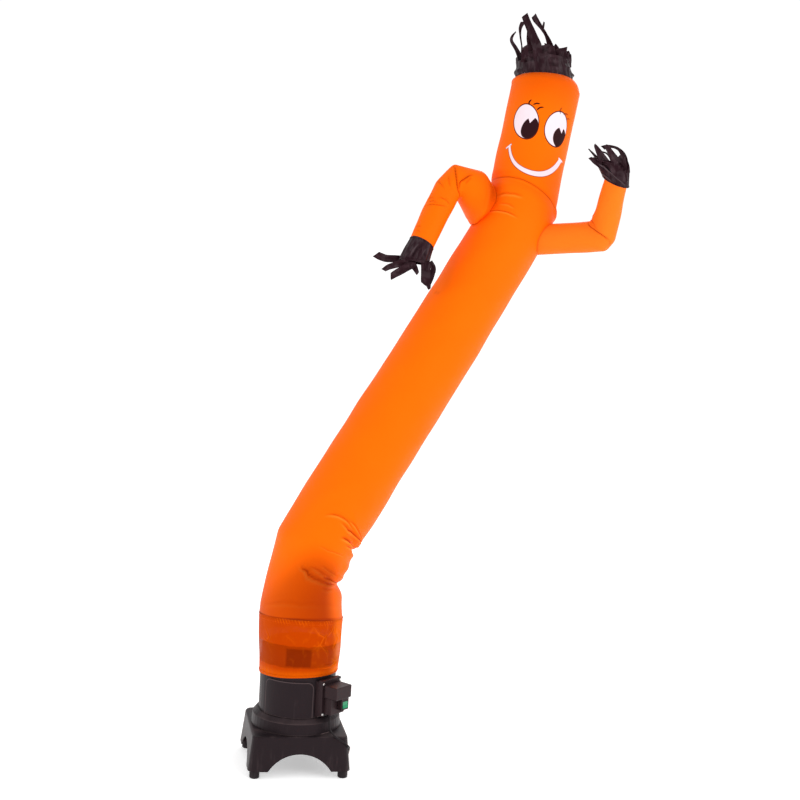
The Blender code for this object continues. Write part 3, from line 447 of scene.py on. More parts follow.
@dataclass(frozen=True)
class SheerNylon(Nylon):
    """The sleeve's thin nylon, the duct's rim showing through, with painted shade and painted
    highlights.
    """

    # bright is the painted light colour; patch bounds a square of painted shade.
    bright: Colour = (0.86, 0.155, 0.0015)
    band: tuple[float, float] = (0.050, 0.132)
    patch: tuple[float, float, float, float] = (-0.070, 0.026, 0.056, 0.124)
    cover: float = 0.985
    thin: float = 0.80

    def dressed(self, recipe: Recipe, colour: Link, height: Link) -> tuple[Link, Link, Any]:
        """The cloth with what shows through it, painted shade, and painted light on its wrinkles.
        """
        cloth = recipe.cloth_place()
        across, along, _ = recipe.parts(cloth)
        creased = recipe.pinched()
        uneven = recipe.cloud(cloth, 22.0, 2.0) * 0.012 - 0.006
        level = along + uneven
        low, high = self.band
        behind = level.eased(low - 0.004, low + 0.004) * level.eased(high + 0.002, high - 0.002)
        left, right, bottom, top = self.patch
        square = (across.eased(left - 0.005, left + 0.006)
                  * across.eased(right + 0.006, right - 0.005)
                  * level.eased(bottom - 0.004, bottom + 0.004)
                  * level.eased(top + 0.004, top - 0.004))
        hem = along.eased(0.046, 0.016)
        slanted = recipe.node("ShaderNodeMapping", {}, {
            "Vector": cloth, "Rotation": (0.0, 0.0, 0.6), "Scale": (1.7, 0.8, 1.0)})
        ridges = ((recipe.cloud(slanted, 8.0, 2.0, 0.5) * 2.0 - 1.0).absolute().eased(0.085, 0.0)
                  * recipe.cloud(cloth, 31.0, 2.0).eased(0.40, 0.62))
        side = (across.eased(-0.06, 0.10) * across.eased(0.46, 0.30)
                * along.eased(0.05, 0.10) * 0.20 + 0.06)
        edge = (across.eased(0.108, 0.158) * across.eased(0.34, 0.26)
                + across.eased(-0.100, -0.170) * 0.14)
        rim = along.eased(0.214, 0.2185)
        # Painted shade over the square patch and over the duct's rim behind the cloth.
        colour = recipe.blend(square * 0.50 + behind * 0.22, colour, self.shadow)
        pucker = ((across * 520.0 + along * 240.0).sine().eased(0.45, 1.0)
                  * recipe.cloud(cloth, 17.0, 1.0).eased(0.42, 0.62) * along.eased(0.196, 0.216))
        # Painted light on the hem, the wrinkle ridges, the sides, the creases and the puckers
        # under the seam.
        light = (hem * 0.34 + ridges * side + edge * 0.72 + creased.largest(0.0) * 0.30
                 + pucker * 0.5).smallest(1.0)
        colour = recipe.blend(light, colour, self.bright)
        # Painted shade along the top rim, under the seam.
        colour = recipe.blend(rim * 0.2, colour, self.shadow)
        alpha = behind * (self.thin - self.cover) + self.cover
        return colour, height + ridges * 2.0, alpha


@dataclass(frozen=True)
class RumpledNylon(Nylon):
    """Rumpled nylon with painted highlights on its small facets."""

    # facet is the painted highlight colour.
    facet: Colour = (0.064, 0.048, 0.052)

    def dressed(self, recipe: Recipe, colour: Link, height: Link) -> tuple[Link, Link, Any]:
        """The cloth with painted highlights on facets, large and fine; the fine ones also raise
        the relief.
        """
        large = recipe.cloud(recipe.place(), 24.0, 2.0, 0.4).eased(0.52, 0.64)
        along = recipe.streaks(recipe.cloth_place(), (72.0, 15.0, 1.0), 1.2).eased(0.52, 0.62)
        upright = recipe.streaks(recipe.place(), (90.0, 90.0, 22.0), 2.0).eased(0.54, 0.66)
        fine = along.largest(upright * 0.7)
        colour = recipe.blend(large * 0.28 + fine * 0.26, colour, self.facet)
        return colour, height + fine * 6.0, 1.0


@dataclass(frozen=True)
class Moulding:
    """Moulded plastic or rubber: fine grain, soft mottling, dust low and on top, any painted
    highlights.
    """

    name: str
    colour: Colour
    # pale is the colour of dust, and of painted highlights where a kind adds them.
    pale: Colour
    roughness: float = 0.42
    grain: float = 900.0
    relief: float = 0.00012
    dust: float = 0.35
    gloss: float = 0.17
    tint: Colour = (1.0, 0.74, 0.78)

    def painted_highlights(self, recipe: Recipe, place: Link) -> Link | float:
        """How pale each place is made by painted highlights: nowhere, on a plain moulding."""
        return 0.0

    def make(self) -> Material:
        """The finished material."""
        recipe = Recipe(self.name)
        place = recipe.place()
        _, _, height = recipe.parts(place)
        _, _, upward = recipe.parts(recipe.node("ShaderNodeNewGeometry", {}, {}, "Normal"))
        mottle = recipe.cloud(place, 14.0, 5.0)
        grain = recipe.cloud(place, self.grain, 2.0)
        scuffs = recipe.streaks(place, (60.0, 60.0, 9.0), 4.0)
        settled = upward.eased(0.3, 1.0) * mottle.eased(0.35, 0.75) * self.dust
        low = height.eased(0.14, 0.0) * scuffs.eased(0.45, 0.75) * self.dust * 0.7
        # Paler for dust and scuffs, and for painted highlights where a kind adds them.
        share = (settled + low + scuffs.eased(0.60, 0.80) * 0.08
                 + self.painted_highlights(recipe, place)).smallest(1.0)
        colour = recipe.blend(share, self.colour, self.pale)
        rough = share * 0.35 + mottle * 0.16 + (self.roughness - 0.08)
        return recipe.done({"Base Color": colour, "Roughness": rough.smallest(1.0),
                            "Specular IOR Level": self.gloss, "Specular Tint": self.tint,
                            "Normal": recipe.bump(grain, self.relief)})


@dataclass(frozen=True)
class HighlightedMoulding(Moulding):
    """The blower's moulding, with painted highlights along its panel's arched outline and its
    ring's rims.
    """

    middle: float = -111.5
    half: float = 0.1034
    top: float = 0.364
    corner: float = 0.028
    radius: float = 0.149
    # Painted highlight lines: height, half width, middle angle, spread and strength of each.
    rims: tuple[tuple[float, float, float, float, float], ...] = (
        (0.2047, 0.0016, -110.0, 60.0, 0.20), (0.2236, 0.0016, -110.0, 60.0, 0.34),
        (0.1640, 0.0022, -55.0, 9.0, 0.90), (0.1640, 0.0018, -100.0, 50.0, 0.16))

    def painted_highlights(self, recipe: Recipe, place: Link) -> Link | float:
        """How pale each place on the surface is made by painted highlights.

        Args:
            recipe: the recipe that holds the nodes.
            place: place on the piece.

        Returns:
            Shares from 0 to 1.
        """
        over, deep, height = recipe.parts(place)
        over, deep = over - BLOWER_AXIS.x, deep - BLOWER_AXIS.y
        turn = recipe.node("ShaderNodeMath", {"operation": "ARCTAN2"}, {0: deep, 1: over})
        off_x = ((turn - math.radians(self.middle)) * self.radius).absolute()
        off_x = (off_x - (self.half - self.corner)).largest(0.0)
        off_y = (height - (self.top - self.corner)).largest(0.0)
        gap = (off_x * off_x + off_y * off_y).root() - self.corner
        round_off = (over * over + deep * deep).root().eased(self.radius - 0.0012,
                                                            self.radius + 0.0002)
        # A painted highlight line just inside the panel's outline, on its outer face only.
        panel = (gap + 0.0030).absolute().eased(0.0022, 0.0008) * height.eased(0.2225, 0.2245)
        share = panel * round_off * 0.42
        for level, thick, middle, spread, strength in self.rims:
            near = (turn - math.radians(middle)).absolute().eased(math.radians(spread),
                                                                  math.radians(spread * 0.5))
            share = share + (height - level).absolute().eased(thick, thick * 0.3) * near * strength
        return share


@dataclass(frozen=True)
class Metal:
    """Bare metal with fine brushing."""

    name: str
    colour: Colour
    roughness: float = 0.24

    def make(self) -> Material:
        """The finished material."""
        recipe = Recipe(self.name)
        place = recipe.place()
        brushing = recipe.streaks(place, (500.0, 500.0, 4000.0), 3.0)
        tarnish = recipe.cloud(place, 160.0, 3.0).eased(0.45, 0.75)
        dull: Colour = tuple(part * 0.55 for part in self.colour)
        return recipe.done({"Base Color": recipe.blend(tarnish * 0.5, self.colour, dull),
                            "Metallic": 1.0,
                            "Roughness": brushing * 0.15 + tarnish * 0.2 + self.roughness,
                            "Normal": recipe.bump(brushing, 0.00003)})


ORANGE = Nylon("orange_nylon", (1.0, 0.146, 0.0020), (0.93, 0.108, 0.0012))
# A lighter copy of the orange for the right arm: painted light from the right.
LIT_ORANGE = Nylon("lit_orange_nylon", (1.0, 0.178, 0.0120), (0.96, 0.142, 0.0080))
PRINTED = PrintedNylon("printed_nylon", ORANGE.colour, ORANGE.deep)
# lifted in these finishes is the painted highlight on crease lips; BLACK's shadow is painted
# crease shade.
SHEER = SheerNylon("sheer_nylon", (0.50, 0.049, 0.0003), (0.40, 0.034, 0.0002),
                   (0.19, 0.014, 0.0003), weave=0.0014, gloss=0.025, crease=0.0,
                   lifted=(0.80, 0.120, 0.0012))
BLACK = RumpledNylon("black_nylon", (0.012, 0.0024, 0.0046), (0.007, 0.0016, 0.0030),
                     (0.0020, 0.0008, 0.0012), 0.42, 0.0010, 0.00006, 0.20, (1.0, 0.62, 0.70),
                     lifted=(0.10, 0.075, 0.082))
THREAD = Nylon("orange_thread", (0.85, 0.12, 0.004), (0.55, 0.05, 0.001), roughness=0.5,
               weave=0.0006)


# ---- the cloth's shape ----

@dataclass(frozen=True)
class Knot:
    """A ring on a tube's middle line; a rise tilts its plane, and none halves the bend."""

    x: float
    y: float
    z: float
    wide: float
    deep: float
    right_rise: float | None = None
    front_rise: float | None = None

    def place(self) -> Vector:
        """The ring's centre."""
        return Vector((self.x, self.y, self.z))


@dataclass(frozen=True)
class Fold:
    """A soft trough round part of a tube at one of its knots."""

    knot: int
    side: float
    spread: float
    depth: float
    climb: float = 0.0
    reach: float = 0.1


@dataclass(frozen=True)
class Crease:
    """A pinched line in the cloth, through (degrees round, metres along) places."""

    path: tuple[tuple[float, float], ...]
    depth: float
    width: float
    lip: float


@dataclass(frozen=True)
class Wave:
    """One slow swelling of the cloth, waves a turn and its length along the tube."""

    height: float
    turns: int
    length: float
    phase: float


@dataclass(frozen=True)
class Strip:
    """A cut strip of cloth: places from its ring's middle, a width at each, and its twist."""

    places: tuple[tuple[float, float, float, float], ...]
    turn: float
    cut: float
    fold: float = 0.34


def metres(tenths: Iterable[float]) -> tuple[float, ...]:
    """Metres from tenths of a millimetre."""
    return tuple(length / TENTHS for length in tenths)


def knots(*rows: Sequence[float]) -> tuple[Knot, ...]:
    """Knots from rows of x, y, z, half width, half depth and, for some, both rises."""
    return tuple(Knot(*metres(row[:5]), *row[5:]) for row in rows)


def creases(*rows: Sequence[float]) -> tuple[Crease, ...]:
    """Creases from rows of depth, width and lip, then degrees and length for each place."""
    return tuple(Crease(tuple(zip(row[3::2], metres(row[4::2]))), *metres(row[:2]), row[2])
                 for row in rows)


def strips(*rows: Sequence[float]) -> tuple[Strip, ...]:
    """Strips from rows of twist and slant of the cut, then x, y, z and width for each place."""
    return tuple(Strip(tuple(metres(row[first:first + 4]) for first in range(2, len(row), 4)),
                       *row[:2]) for row in rows)


SLEEVE_KNOTS = knots(
    (0, 0, 3690, 1488, 1488, 0, 0),
    (20, 0, 4700, 1580, 1580),
    (0, 0, 5920, 1590, 1590, -0.04, 0.1),
)
BODY_KNOTS = knots(
    (0, 0, 5920, 1590, 1590, -0.04, 0.1),
    (-80, 10, 6770, 1530, 1560, 0.3, 0),
    (480, 220, 8770, 1535, 1550, -0.26, 0.1),
    (1330, 510, 10120, 1533, 1533),
    (5790, 2050, 17310, 1468, 1468),
    (8260, 2930, 21440, 1425, 1425),
    (8430, 3060, 22210, 1385, 1385, -0.54, 0.43),
    (9270, 3850, 26540, 1373, 1373, -0.14, 0.18),
)
LEFT_ARM_KNOTS = knots(
    (7160, 2830, 21990, 450, 450),
    (6450, 2620, 22130, 1070, 1020, 12, -3.4),
    (5550, 2360, 22710, 420, 560),
    (5195, 2220, 22360, 415, 540),
    (4670, 1800, 21390, 530, 530),
    (4120, 1280, 20280, 490, 490, -0.54, 0.38),
)
RIGHT_ARM_KNOTS = knots(
    (7900, 2930, 20440, 600, 590),
    (11090, 1130, 20890, 580, 605),
    (11210, 960, 21150, 560, 655, -0.69, -0.6),
    (11260, 600, 21870, 510, 505),
    (11280, -20, 23030, 445, 445, -0.3, -0.42),
)
LEFT_CUFF_KNOTS = knots(
    (4118, 1278, 20271, 490, 490, -0.54, 0.38),
    (3950, 1160, 19920, 530, 410, -0.34, 0.29),
    (3820, 1030, 19630, 560, 300, -0.15, 0.2),
)
RIGHT_CUFF_KNOTS = knots(
    (11280, -22, 23039, 445, 445, -0.3, -0.42),
    (11130, -180, 23380, 530, 400, -0.24, -0.3),
    (10970, -320, 23690, 600, 280, -0.185, -0.2),
)
BODY_FOLDS = (
    Fold(1, -30.0, 48.0, 0.016, 0.120, 0.40),
    Fold(2, -22.0, 48.0, 0.014, 0.130, 0.40),
    Fold(6, -120.0, 80.0, 0.008, 0.0, 0.10),
)
BODY_WAVES = (
    Wave(0.0007, 3, 0.61, 0.4),
    Wave(0.0006, -4, 0.37, 2.1),
    Wave(0.0005, 5, 0.23, 4.0),
    Wave(0.0004, -7, 0.171, 1.2),
)
SLEEVE_WAVES = (
    Wave(0.0011, 4, 0.42, 0.9),
    Wave(0.0008, -7, 0.19, 2.2),
)
ARM_WAVES = (
    Wave(0.0005, 3, 0.21, 0.4),
    Wave(0.0004, -5, 0.13, 2.0),
)
BODY_CREASES = creases(
    (34, 34, 0.3, -200, 18820, -156, 18840, -109, 18910, -66, 18885, -43, 18856, -28, 18780, -8,
     18680),
    (22, 38, 0.8, -150, 18220, -134, 18340, -117.5, 18400, -102, 18420),
    (30, 40, 0.8, -156, 17480, -136, 17680, -117.5, 17730, -98, 17690),
    (16, 36, 0.8, -140, 18000, -124, 18060, -110, 18000),
    (30, 32, 0.8, -110, 2860, -97.3, 2856, -86.8, 2869, -77.2, 2909, -60, 3020),
    (48, 36, 0.8, -86.2, 2763, -67.6, 2804, -49.8, 3087, -28.3, 3392, -4, 3520),
    (30, 32, 0.8, -76, 2970, -60, 3180, -40, 3380, -26, 3520),
    (62, 38, 0.9, -73, 2500, -63.3, 2591, -52.8, 2705, -23.5, 3020, -2, 3180),
    (26, 32, 0.8, -57, 2500, -44, 2660, -26, 2860),
    (14, 34, 0.8, -95.8, 1909, -79.4, 1829, -62.5, 2074, -47, 2296),
    (66, 34, 0.9, -113, 1240, -107, 980, -97, 790, -86.5, 727, -72, 700, -59.5, 706, -33.9, 842,
     -14, 940),
    (24, 34, 0.8, -99, 980, -86.5, 880, -73.9, 835, -60, 880),
    (52, 32, 0.8, -78, 760, -66, 790, -48, 880, -28, 965, -8, 1000),
    (24, 30, 0.8, -84, 1040, -66, 1030, -45, 1120),
    (20, 30, 0.8, -72, 600, -58, 560, -44, 620),
    (9, 40, 0.8, -172.6, 960, -128.7, 577, -97, 357, -68, 294, -25, 288),
    (12, 34, 0.8, -161.7, 13460, -153.3, 13540, -145.2, 13520),
    (50, 50, 0.6, 30, 3000, 8, 3180, -4, 3180),
    (50, 50, 0.6, 34, 1180, 10, 1000, -8, 980),
    (36, 44, 0.5, 160, 18740, 128, 18680, 90, 18720, 60, 18660),
    (26, 50, 0.8, 140, 18000, 110, 17920, 84, 17980),
    (-100, 180, 0, -40, 18800, -8, 18700, 14, 18640),
    (-80, 330, 0, -44, 1720, -6, 1820, 28, 1800),
)
SLEEVE_CREASES = creases(
    (8, 40, 0.9, -118, 1760, -108, 1600, -100, 1400),
    (28, 34, 0.9, -78, 2100, -70, 1800, -60, 1680, -66, 1400, -56, 1120, -52, 840),
    (22, 30, 0.9, -60, 1680, -50, 1860, -47, 2070),
    (26, 34, 0.9, -40, 2060, -43, 1760, -36, 1500, -44, 1220, -38, 960),
    (16, 30, 0.9, -66, 1400, -76, 1200, -84, 1160),
    (22, 34, 0.9, -30, 1880, -22, 1600, -25, 1280),
    (18, 34, 0.9, -152, 1820, -142, 1500, -150, 1260),
    (12, 34, 0.9, -160, 1500, -146, 1380, -132, 1300),
    (26, 50, 0.8, -66, 580, -44, 480, -26, 660),
    (20, 40, 0.8, -50, 840, -36, 620, -28, 360),
    (20, 40, 0.9, 20, 1900, 44, 1500, 60, 1400),
    (20, 40, 0.9, 76, 2000, 84, 1600, 72, 1300),
    (20, 40, 0.9, 110, 1800, 128, 1400, 150, 1200),
)
LEFT_ARM_CREASES = creases(
    (-90, 160, 0, 222, 700, 246, 840, 266, 700),
    (62, 34, 0.6, 70, 1860, 41, 1920, 12, 2008, -11, 2093, -38, 2238, -66, 2300, -88, 2320),
    (54, 30, 0.6, -50, 2240, -22.5, 2017, -16.9, 1816, 2.2, 1573, 19.2, 1320),
    (24, 28, 0.6, -30, 1760, -12, 1600, 4, 1420),
    (20, 28, 0.6, -16, 1720, 6, 1500, 14, 1300),
    (22, 30, 0.8, 40, 2140, 18, 2260, -8, 2400),
    (22, 30, 0.8, 86, 2460, 60, 2400, 34, 2500, 10, 2620),
    (24, 30, 0.9, 84, 3220, 58, 3140, 31.6, 3160),
    (26, 30, 0.9, 24, 3060, -12.7, 3000, -44, 3040),
    (22, 28, 0.9, 60, 3340, 36, 3280, 14, 3320),
    (26, 30, 0.9, 60, 3520, 30, 3440, 5.5, 3386, -38.3, 3194),
    (18, 30, 0.9, 72, 4520, 50, 4440, 34, 4480),
    (18, 30, 0.9, 60, 4700, 44, 4620, 26, 4720),
    (36, 40, 0.6, -150, 2260, -120, 2380, -90, 2320),
    (34, 36, 0.6, 170, 2240, 140, 2060, 112, 1960),
)
RIGHT_ARM_CREASES = creases(
    (44, 34, 0.6, -240, 3673, -219.5, 3673, -184.2, 3926, -150.8, 4033, -127, 4047, -99.6, 4018),
    (30, 34, 0.6, -262, 3800, -232, 4040, -200, 4120, -176, 4040),
    (20, 30, 0.6, -112, 4010, -98, 3960, -84, 3850),
    (30, 40, 0.6, 88, 3780, 60, 4000, 30, 4040),
)
LEFT_CUFF_CREASES = creases(
    (32, 42, 0.7, 95, 200, 104, 450, 107, 725),
    (26, 36, 0.7, 60, 280, 63, 575),
)
RIGHT_CUFF_CREASES = creases(
    (64, 56, 1, 200, 760, 235, 705, 260, 554, 285, 353, 310, 176),
    (34, 40, 0.9, 196, 300, 226, 250, 252, 120),
)
LEFT_FINGERS = strips(
    (10, 0.26, -360, 270, -10, 284, -710, 260, 0, 284, -1070, 250, 0, 292, -1290, 210, 60, 299,
     -1470, 170, 150, 284),
    (-16, 0.26, -210, -240, -50, 288, -670, -240, -170, 261, -1010, -250, -290, 223, -1230, -280,
     -430, 169),
    (12, 0.26, -60, -280, -100, 322, -380, -370, -300, 315, -690, -450, -470, 292, -980, -530,
     -640, 246),
    (-14, 0.26, -140, -270, -70, 246, -20, -350, -290, 223, 90, -420, -490, 138),
    (14, 0.26, 380, -260, -10, 345, 390, -390, -340, 361, 370, -500, -640, 345, 340, -620, -900,
     315),
    (-20, 0.26, 570, -100, -40, 246, 730, -120, -280, 215, 670, -100, -580, 246, 600, -80, -840,
     253, 650, -80, -1080, 100),
)
RIGHT_FINGERS = strips(
    (10, 0.26, -270, 280, 100, 171, -500, 310, 220, 122, -680, 340, 360, 84, -840, 360, 530, 42),
    (-16, 0.26, -210, -230, -80, 342, -420, -200, 180, 304, -590, -180, 430, 228, -710, -170, 600,
     144, -770, -160, 700, 61),
    (12, 0.26, -330, -190, -160, 304, -570, -180, -30, 251, -750, -180, 80, 190, -930, -180, 190,
     114),
    (20, 0.26, 580, 0, -110, 228, 510, 40, 190, 243, 420, 80, 410, 205, 280, 130, 570, 122, 70,
     200, 650, 99, -150, 270, 650, 144, -310, 320, 590, 182),
    (-10, 0.26, 390, -250, -270, 342, 190, -260, -20, 361, -40, -260, 250, 312, -190, -280, 460,
     221, -310, -300, 610, 198, -420, -330, 670, 144),
    (0, 0.26, 150, 250, -30, 114, 0, 220, 230, 84, -150, 200, 380, 68, -370, 190, 440, 53),
    (10, 0.26, 640, -120, -300, 152, 590, -160, -40, 137, 450, -180, 280, 114),
    (8, 0.26, 340, -260, -200, 380, 260, -250, 60, 361, 170, -230, 290, 243),
    (-6, 0.26, -220, -230, -160, 304, -280, -200, 30, 304, -350, -180, 190, 190),
    (6, 0.26, -190, -270, 30, 266, 50, -380, -200, 399, 270, -490, -430, 361, 460, -590, -660,
     171),
)
HAIR_STRIPS = strips(
    (12, -0.2, -430, -980, 30, 361, -500, -830, 580, 385, -640, -660, 960, 345, -820, -500, 1380,
     296, -960, -330, 1800, 272),
    (-20, 0.05, 660, 870, 210, 321, 460, 750, 740, 260, 220, 630, 1160, 136, -10, 520, 1410, 144,
     -280, 410, 1680, 232, -440, 280, 1860, 240),
    (0, 0.26, -20, 310, 1350, 104, 0, 300, 1490, 88, 20, 300, 1640, 64),
    (10, 0.26, -650, 820, 150, 160, -730, 760, 660, 60, -830, 700, 1090, 80, -860, 640, 1360, 136,
     -780, 550, 1610, 192),
    (25, 0.26, -1020, -410, 20, 280, -1210, -380, 420, 180, -1420, -350, 730, 128, -1400, -350,
     950, 104, -1270, -380, 1100, 56),
    (-8, 0.26, -890, -650, -60, 329, -930, -720, 240, 304, -990, -790, 540, 272),
    (8, 0.26, -220, 1010, 150, 361, -280, 900, 620, 341, -390, 800, 1010, 300, -460, 690, 1230,
     200),
    (14, 0.26, -300, -1020, -40, 421, -310, -910, 350, 461, -230, -820, 630, 441),
    (-10, 0.26, 70, -1030, -60, 401, 40, -920, 330, 441, 0, -810, 670, 361),
    (18, 0.26, 540, -870, -60, 461, 500, -780, 300, 461, 570, -710, 600, 381),
    (-20, 0.26, 950, -470, -130, 220, 970, -430, 150, 184, 980, -380, 410, 136),
    (10, 0.26, 820, 740, 210, 401, 730, 740, 520, 381, 600, 760, 750, 240),
    (-30, 0.26, -500, 900, 210, 321, -560, 910, 440, 280, -510, 900, 570, 200),
    (30, 0.26, 140, 1040, 260, 361, 170, 1010, 540, 341, 120, 1000, 700, 240),
    (0, 0.26, 1050, 380, 200, 280, 1080, 390, 450, 256, 1020, 420, 560, 200),
)
# The lead's middle line from the control box to the coil.
ROUTE = (
    (1094, -1544, 2212), (1097, -1560, 2050), (1120, -1640, 1880), (1190, -1760, 1755),
    (1302, -1843, 1655), (1440, -1872, 1556), (1595, -1865, 1457), (1724, -1835, 1352),
    (1826, -1766, 1251), (1894, -1656, 1148), (1922, -1420, 989), (1955, -1100, 760),
    (1985, -720, 500), (2010, -320, 270), (2030, 100, 105), (2050, 520, 45), (2070, 1000, 38),
    (2040, 1500, 38), (1900, 2000, 38), (1630, 2400, 38), (1250, 2620, 40), (800, 2655, 42),
)


# ---- cloth tubes and meshes ----

def smooth(value: Array) -> Array:
    """Smooth step from 0 to 1."""
    value = np.clip(value, 0.0, 1.0)
    return value * value * (3.0 - 2.0 * value)


def bell(value: Array) -> Array:
    """Smooth bump, 1 at 0."""
    return np.exp(-value ** 2)


def unit(ways: Array) -> Array:
    """The ways, each 1 long."""
    return ways / np.linalg.norm(ways, axis=-1, keepdims=True)


def outward(spots: Array) -> Array:
    """Unit ways out from the middle of each ring of points."""
    return unit(spots - spots.mean(axis=-2, keepdims=True))


def power_wave(wave: Array, power: float) -> Array:
    """A wave made squarer by a power below 1."""
    return np.sign(wave) * np.abs(wave) ** power


def degrees_between(angles: Array, side: float) -> Array:
    """Degrees between angles in radians and one side."""
    return (np.degrees(angles) - side + 180.0) % 360.0 - 180.0


@dataclass
class Tube:
    """A bent tube of cloth, held out by air, straight between its knots."""

    knots: Sequence[Knot]
    folds: Sequence[Fold] = ()
    creases: Sequence[Crease] = ()
    waves: Sequence[Wave] = ()
    columns: int = 96
    fold_pitch: float = 0.026
    soft: float = 0.010
    rounding: tuple[tuple[float, float], ...] = ((0.15, -1.0), (0.22, -0.5), (0.26, 0.0),
                                                 (0.22, 0.5), (0.15, 1.0))

    def __post_init__(self) -> None:
        """Works out the rings and the distance of each along the middle line."""
        places = [knot.place() for knot in self.knots]
        steps = [(there - here).length for here, there in zip(places, places[1:])]
        self.stations = np.concatenate(([0.0], np.cumsum(steps)))
        self.angles = TURN * np.arange(self.columns) / self.columns
        self.radius = float(np.mean([(knot.wide + knot.deep) / 2 for knot in self.knots]))
        self.rings = np.array(self._rings(places))

    def _rings(self, places: list[Vector]) -> list[Array]:
        """One ring of points at each knot, in the knot's own plane.

        Args:
            places: the knots' centres.

        Returns:
            The rings.
        """
        ways = [(there - here).normalized() for here, there in zip(places, places[1:])]
        right = Vector((1, 0, 0))
        right = (right - ways[0] * right.dot(ways[0])).normalized()
        rings = []
        for index, knot in enumerate(self.knots):
            before, after = ways[max(index - 1, 0)], ways[min(index, len(ways) - 1)]
            plane = (before + after).normalized()
            if knot.right_rise is not None:
                plane = Vector((-knot.right_rise, knot.front_rise, 1.0)).normalized()
            across, deep = (way - before * (way.dot(plane) / before.dot(plane))
                            for way in (right, before.cross(right)))
            rings.append(np.array(places[index])
                         + np.outer(np.cos(self.angles) * knot.wide, across)
                         + np.outer(np.sin(self.angles) * knot.deep, deep))
            right = before.rotation_difference(after) @ right
        self.axes = (ways[-1], across, deep)
        return rings

    @property
    def length(self) -> float:
        """Length of the middle line."""
        return float(self.stations[-1])

    def _straight(self, along: Array) -> Array:
        """Places at distances along the tube, straight between the rings."""
        index = np.clip(np.searchsorted(self.stations, along, side="right") - 1, 0,
                        len(self.stations) - 2)
        start = self.stations[index]
        share = (along - start) / (self.stations[index + 1] - start)
        column = np.broadcast_to(np.arange(self.columns), along.shape)
        return (self.rings[index, column] * (1 - share)[..., None]
                + self.rings[index + 1, column] * share[..., None])

    def _rounded(self, along: Array) -> Array:
        """The same, its corners rounded a little."""
        reach = np.minimum(np.minimum(self.soft, along), self.length - along).clip(0.0)
        return sum(weight * self._straight(along + reach * shift)
                   for weight, shift in self.rounding)

    def pinch(self, along: Array) -> tuple[Array, Array]:
        """How far the cloth is drawn in at each point, and the painted shade and highlight that
        its creases give it.

        Args:
            along: distances along the tube, one a point.

        Returns:
            Depths in metres, and painted shade from 1 in a crease to less than 0 for a painted
            highlight on its lip.
        """
        drawn = np.zeros(along.shape)
        shade = np.zeros(along.shape)
        for fold in self.folds:
            steps = (along - self.stations[fold.knot]) / self.fold_pitch
            spread = bell(degrees_between(self.angles, fold.side) / fold.spread)
            drawn += fold.depth * spread * (1.0 - 1.5 * steps ** 2) * bell(steps)
        for crease in self.creases:
            depth, dark = self._crease(crease, along)
            drawn += depth
            shade = np.where(np.abs(dark) > np.abs(shade), dark, shade)
        for wave in self.waves:
            drawn += wave.height * np.sin(wave.turns * self.angles
                                          + TURN * along / wave.length + wave.phase)
        return drawn, shade

    def _crease(self, crease: Crease, along: Array) -> tuple[Array, Array]:
        """Depth, and painted shade and highlight, that one crease gives every point.

        Args:
            crease: the crease.
            along: distances along the tube.

        Returns:
            Depths in metres, and painted shades from 1 to less than 0, where below 0 is a painted
            highlight.
        """
        nearest = np.full(along.shape, 1e9)
        signed = np.zeros(along.shape)
        ease = np.zeros(along.shape)
        count = len(crease.path) - 1
        for index, (here, there) in enumerate(zip(crease.path, crease.path[1:])):
            across = self.radius * np.radians(degrees_between(self.angles, here[0]))
            run = np.array((self.radius * math.radians(there[0] - here[0]), there[1] - here[1]))
            size = float(np.hypot(*run)) or 1e-9
            share = np.clip((across * run[0] + (along - here[1]) * run[1]) / size ** 2, 0, 1)
            off_x, off_y = across - share * run[0], along - here[1] - share * run[1]
            gap = np.hypot(off_x, off_y)
            closer = gap < nearest
            nearest = np.where(closer, gap, nearest)
            signed = np.where(closer, (run[0] * off_y - run[1] * off_x) / size, signed)
            ease = np.where(closer, (index + share) / count, ease)
        taper = smooth(np.minimum(ease, 1 - ease) * 3.2 + 0.12)
        near = nearest / crease.width
        lips = bell((near - 1.7) / 0.8)
        depth = crease.depth * taper * (bell(near) - crease.lip * lips)
        # Painted highlight along one lip of the crease, and painted shade in its trough.
        bright = bell((near - 1.6) / 0.7) * (0.5 - 0.5 * np.sign(signed))
        bright *= crease.lip ** 2 * min(0.9, crease.depth / 0.0030)
        dark = bell(near * 1.5) * min(1.0, crease.depth / 0.0040)
        return depth, (dark - bright) * taper * (crease.depth > 0)

    def surface(self, along: Array) -> tuple[Array, Array]:
        """The cloth's points.

        Args:
            along: distances along the tube, in rows, one a column.

        Returns:
            Points in rows, and the painted crease shade of each.
        """
        front = np.clip(-np.sin(self.angles), 0.0, None) ** 2.5
        rise = np.zeros(along.shape)
        for fold in self.folds:
            at = self.stations[fold.knot]
            ease = smooth(1.0 - np.abs(along - at) / fold.reach) * np.clip(along / at, 0, 1)
            rise = np.maximum(rise, fold.climb * front * ease)
        lifted = np.clip(along + rise, 0.0, self.length)
        spots = self._rounded(lifted)
        inward = unit(np.roll(spots, self.columns // 2, axis=1) - spots)
        drawn, shade = self.pinch(along)
        return spots + inward * drawn[..., None], shade

    def rows(self, pitch: float) -> Array:
        """Even distances from the start to the end, one row a line."""
        along = np.linspace(0.0, self.length, round(self.length / pitch) + 1)
        return np.repeat(along[:, None], self.columns, axis=1)


def linked(name: str, data: bpy.types.ID) -> Piece:
    """A new object in the scene."""
    made = bpy.data.objects.new(name, data)
    bpy.context.scene.collection.objects.link(made)
    return made


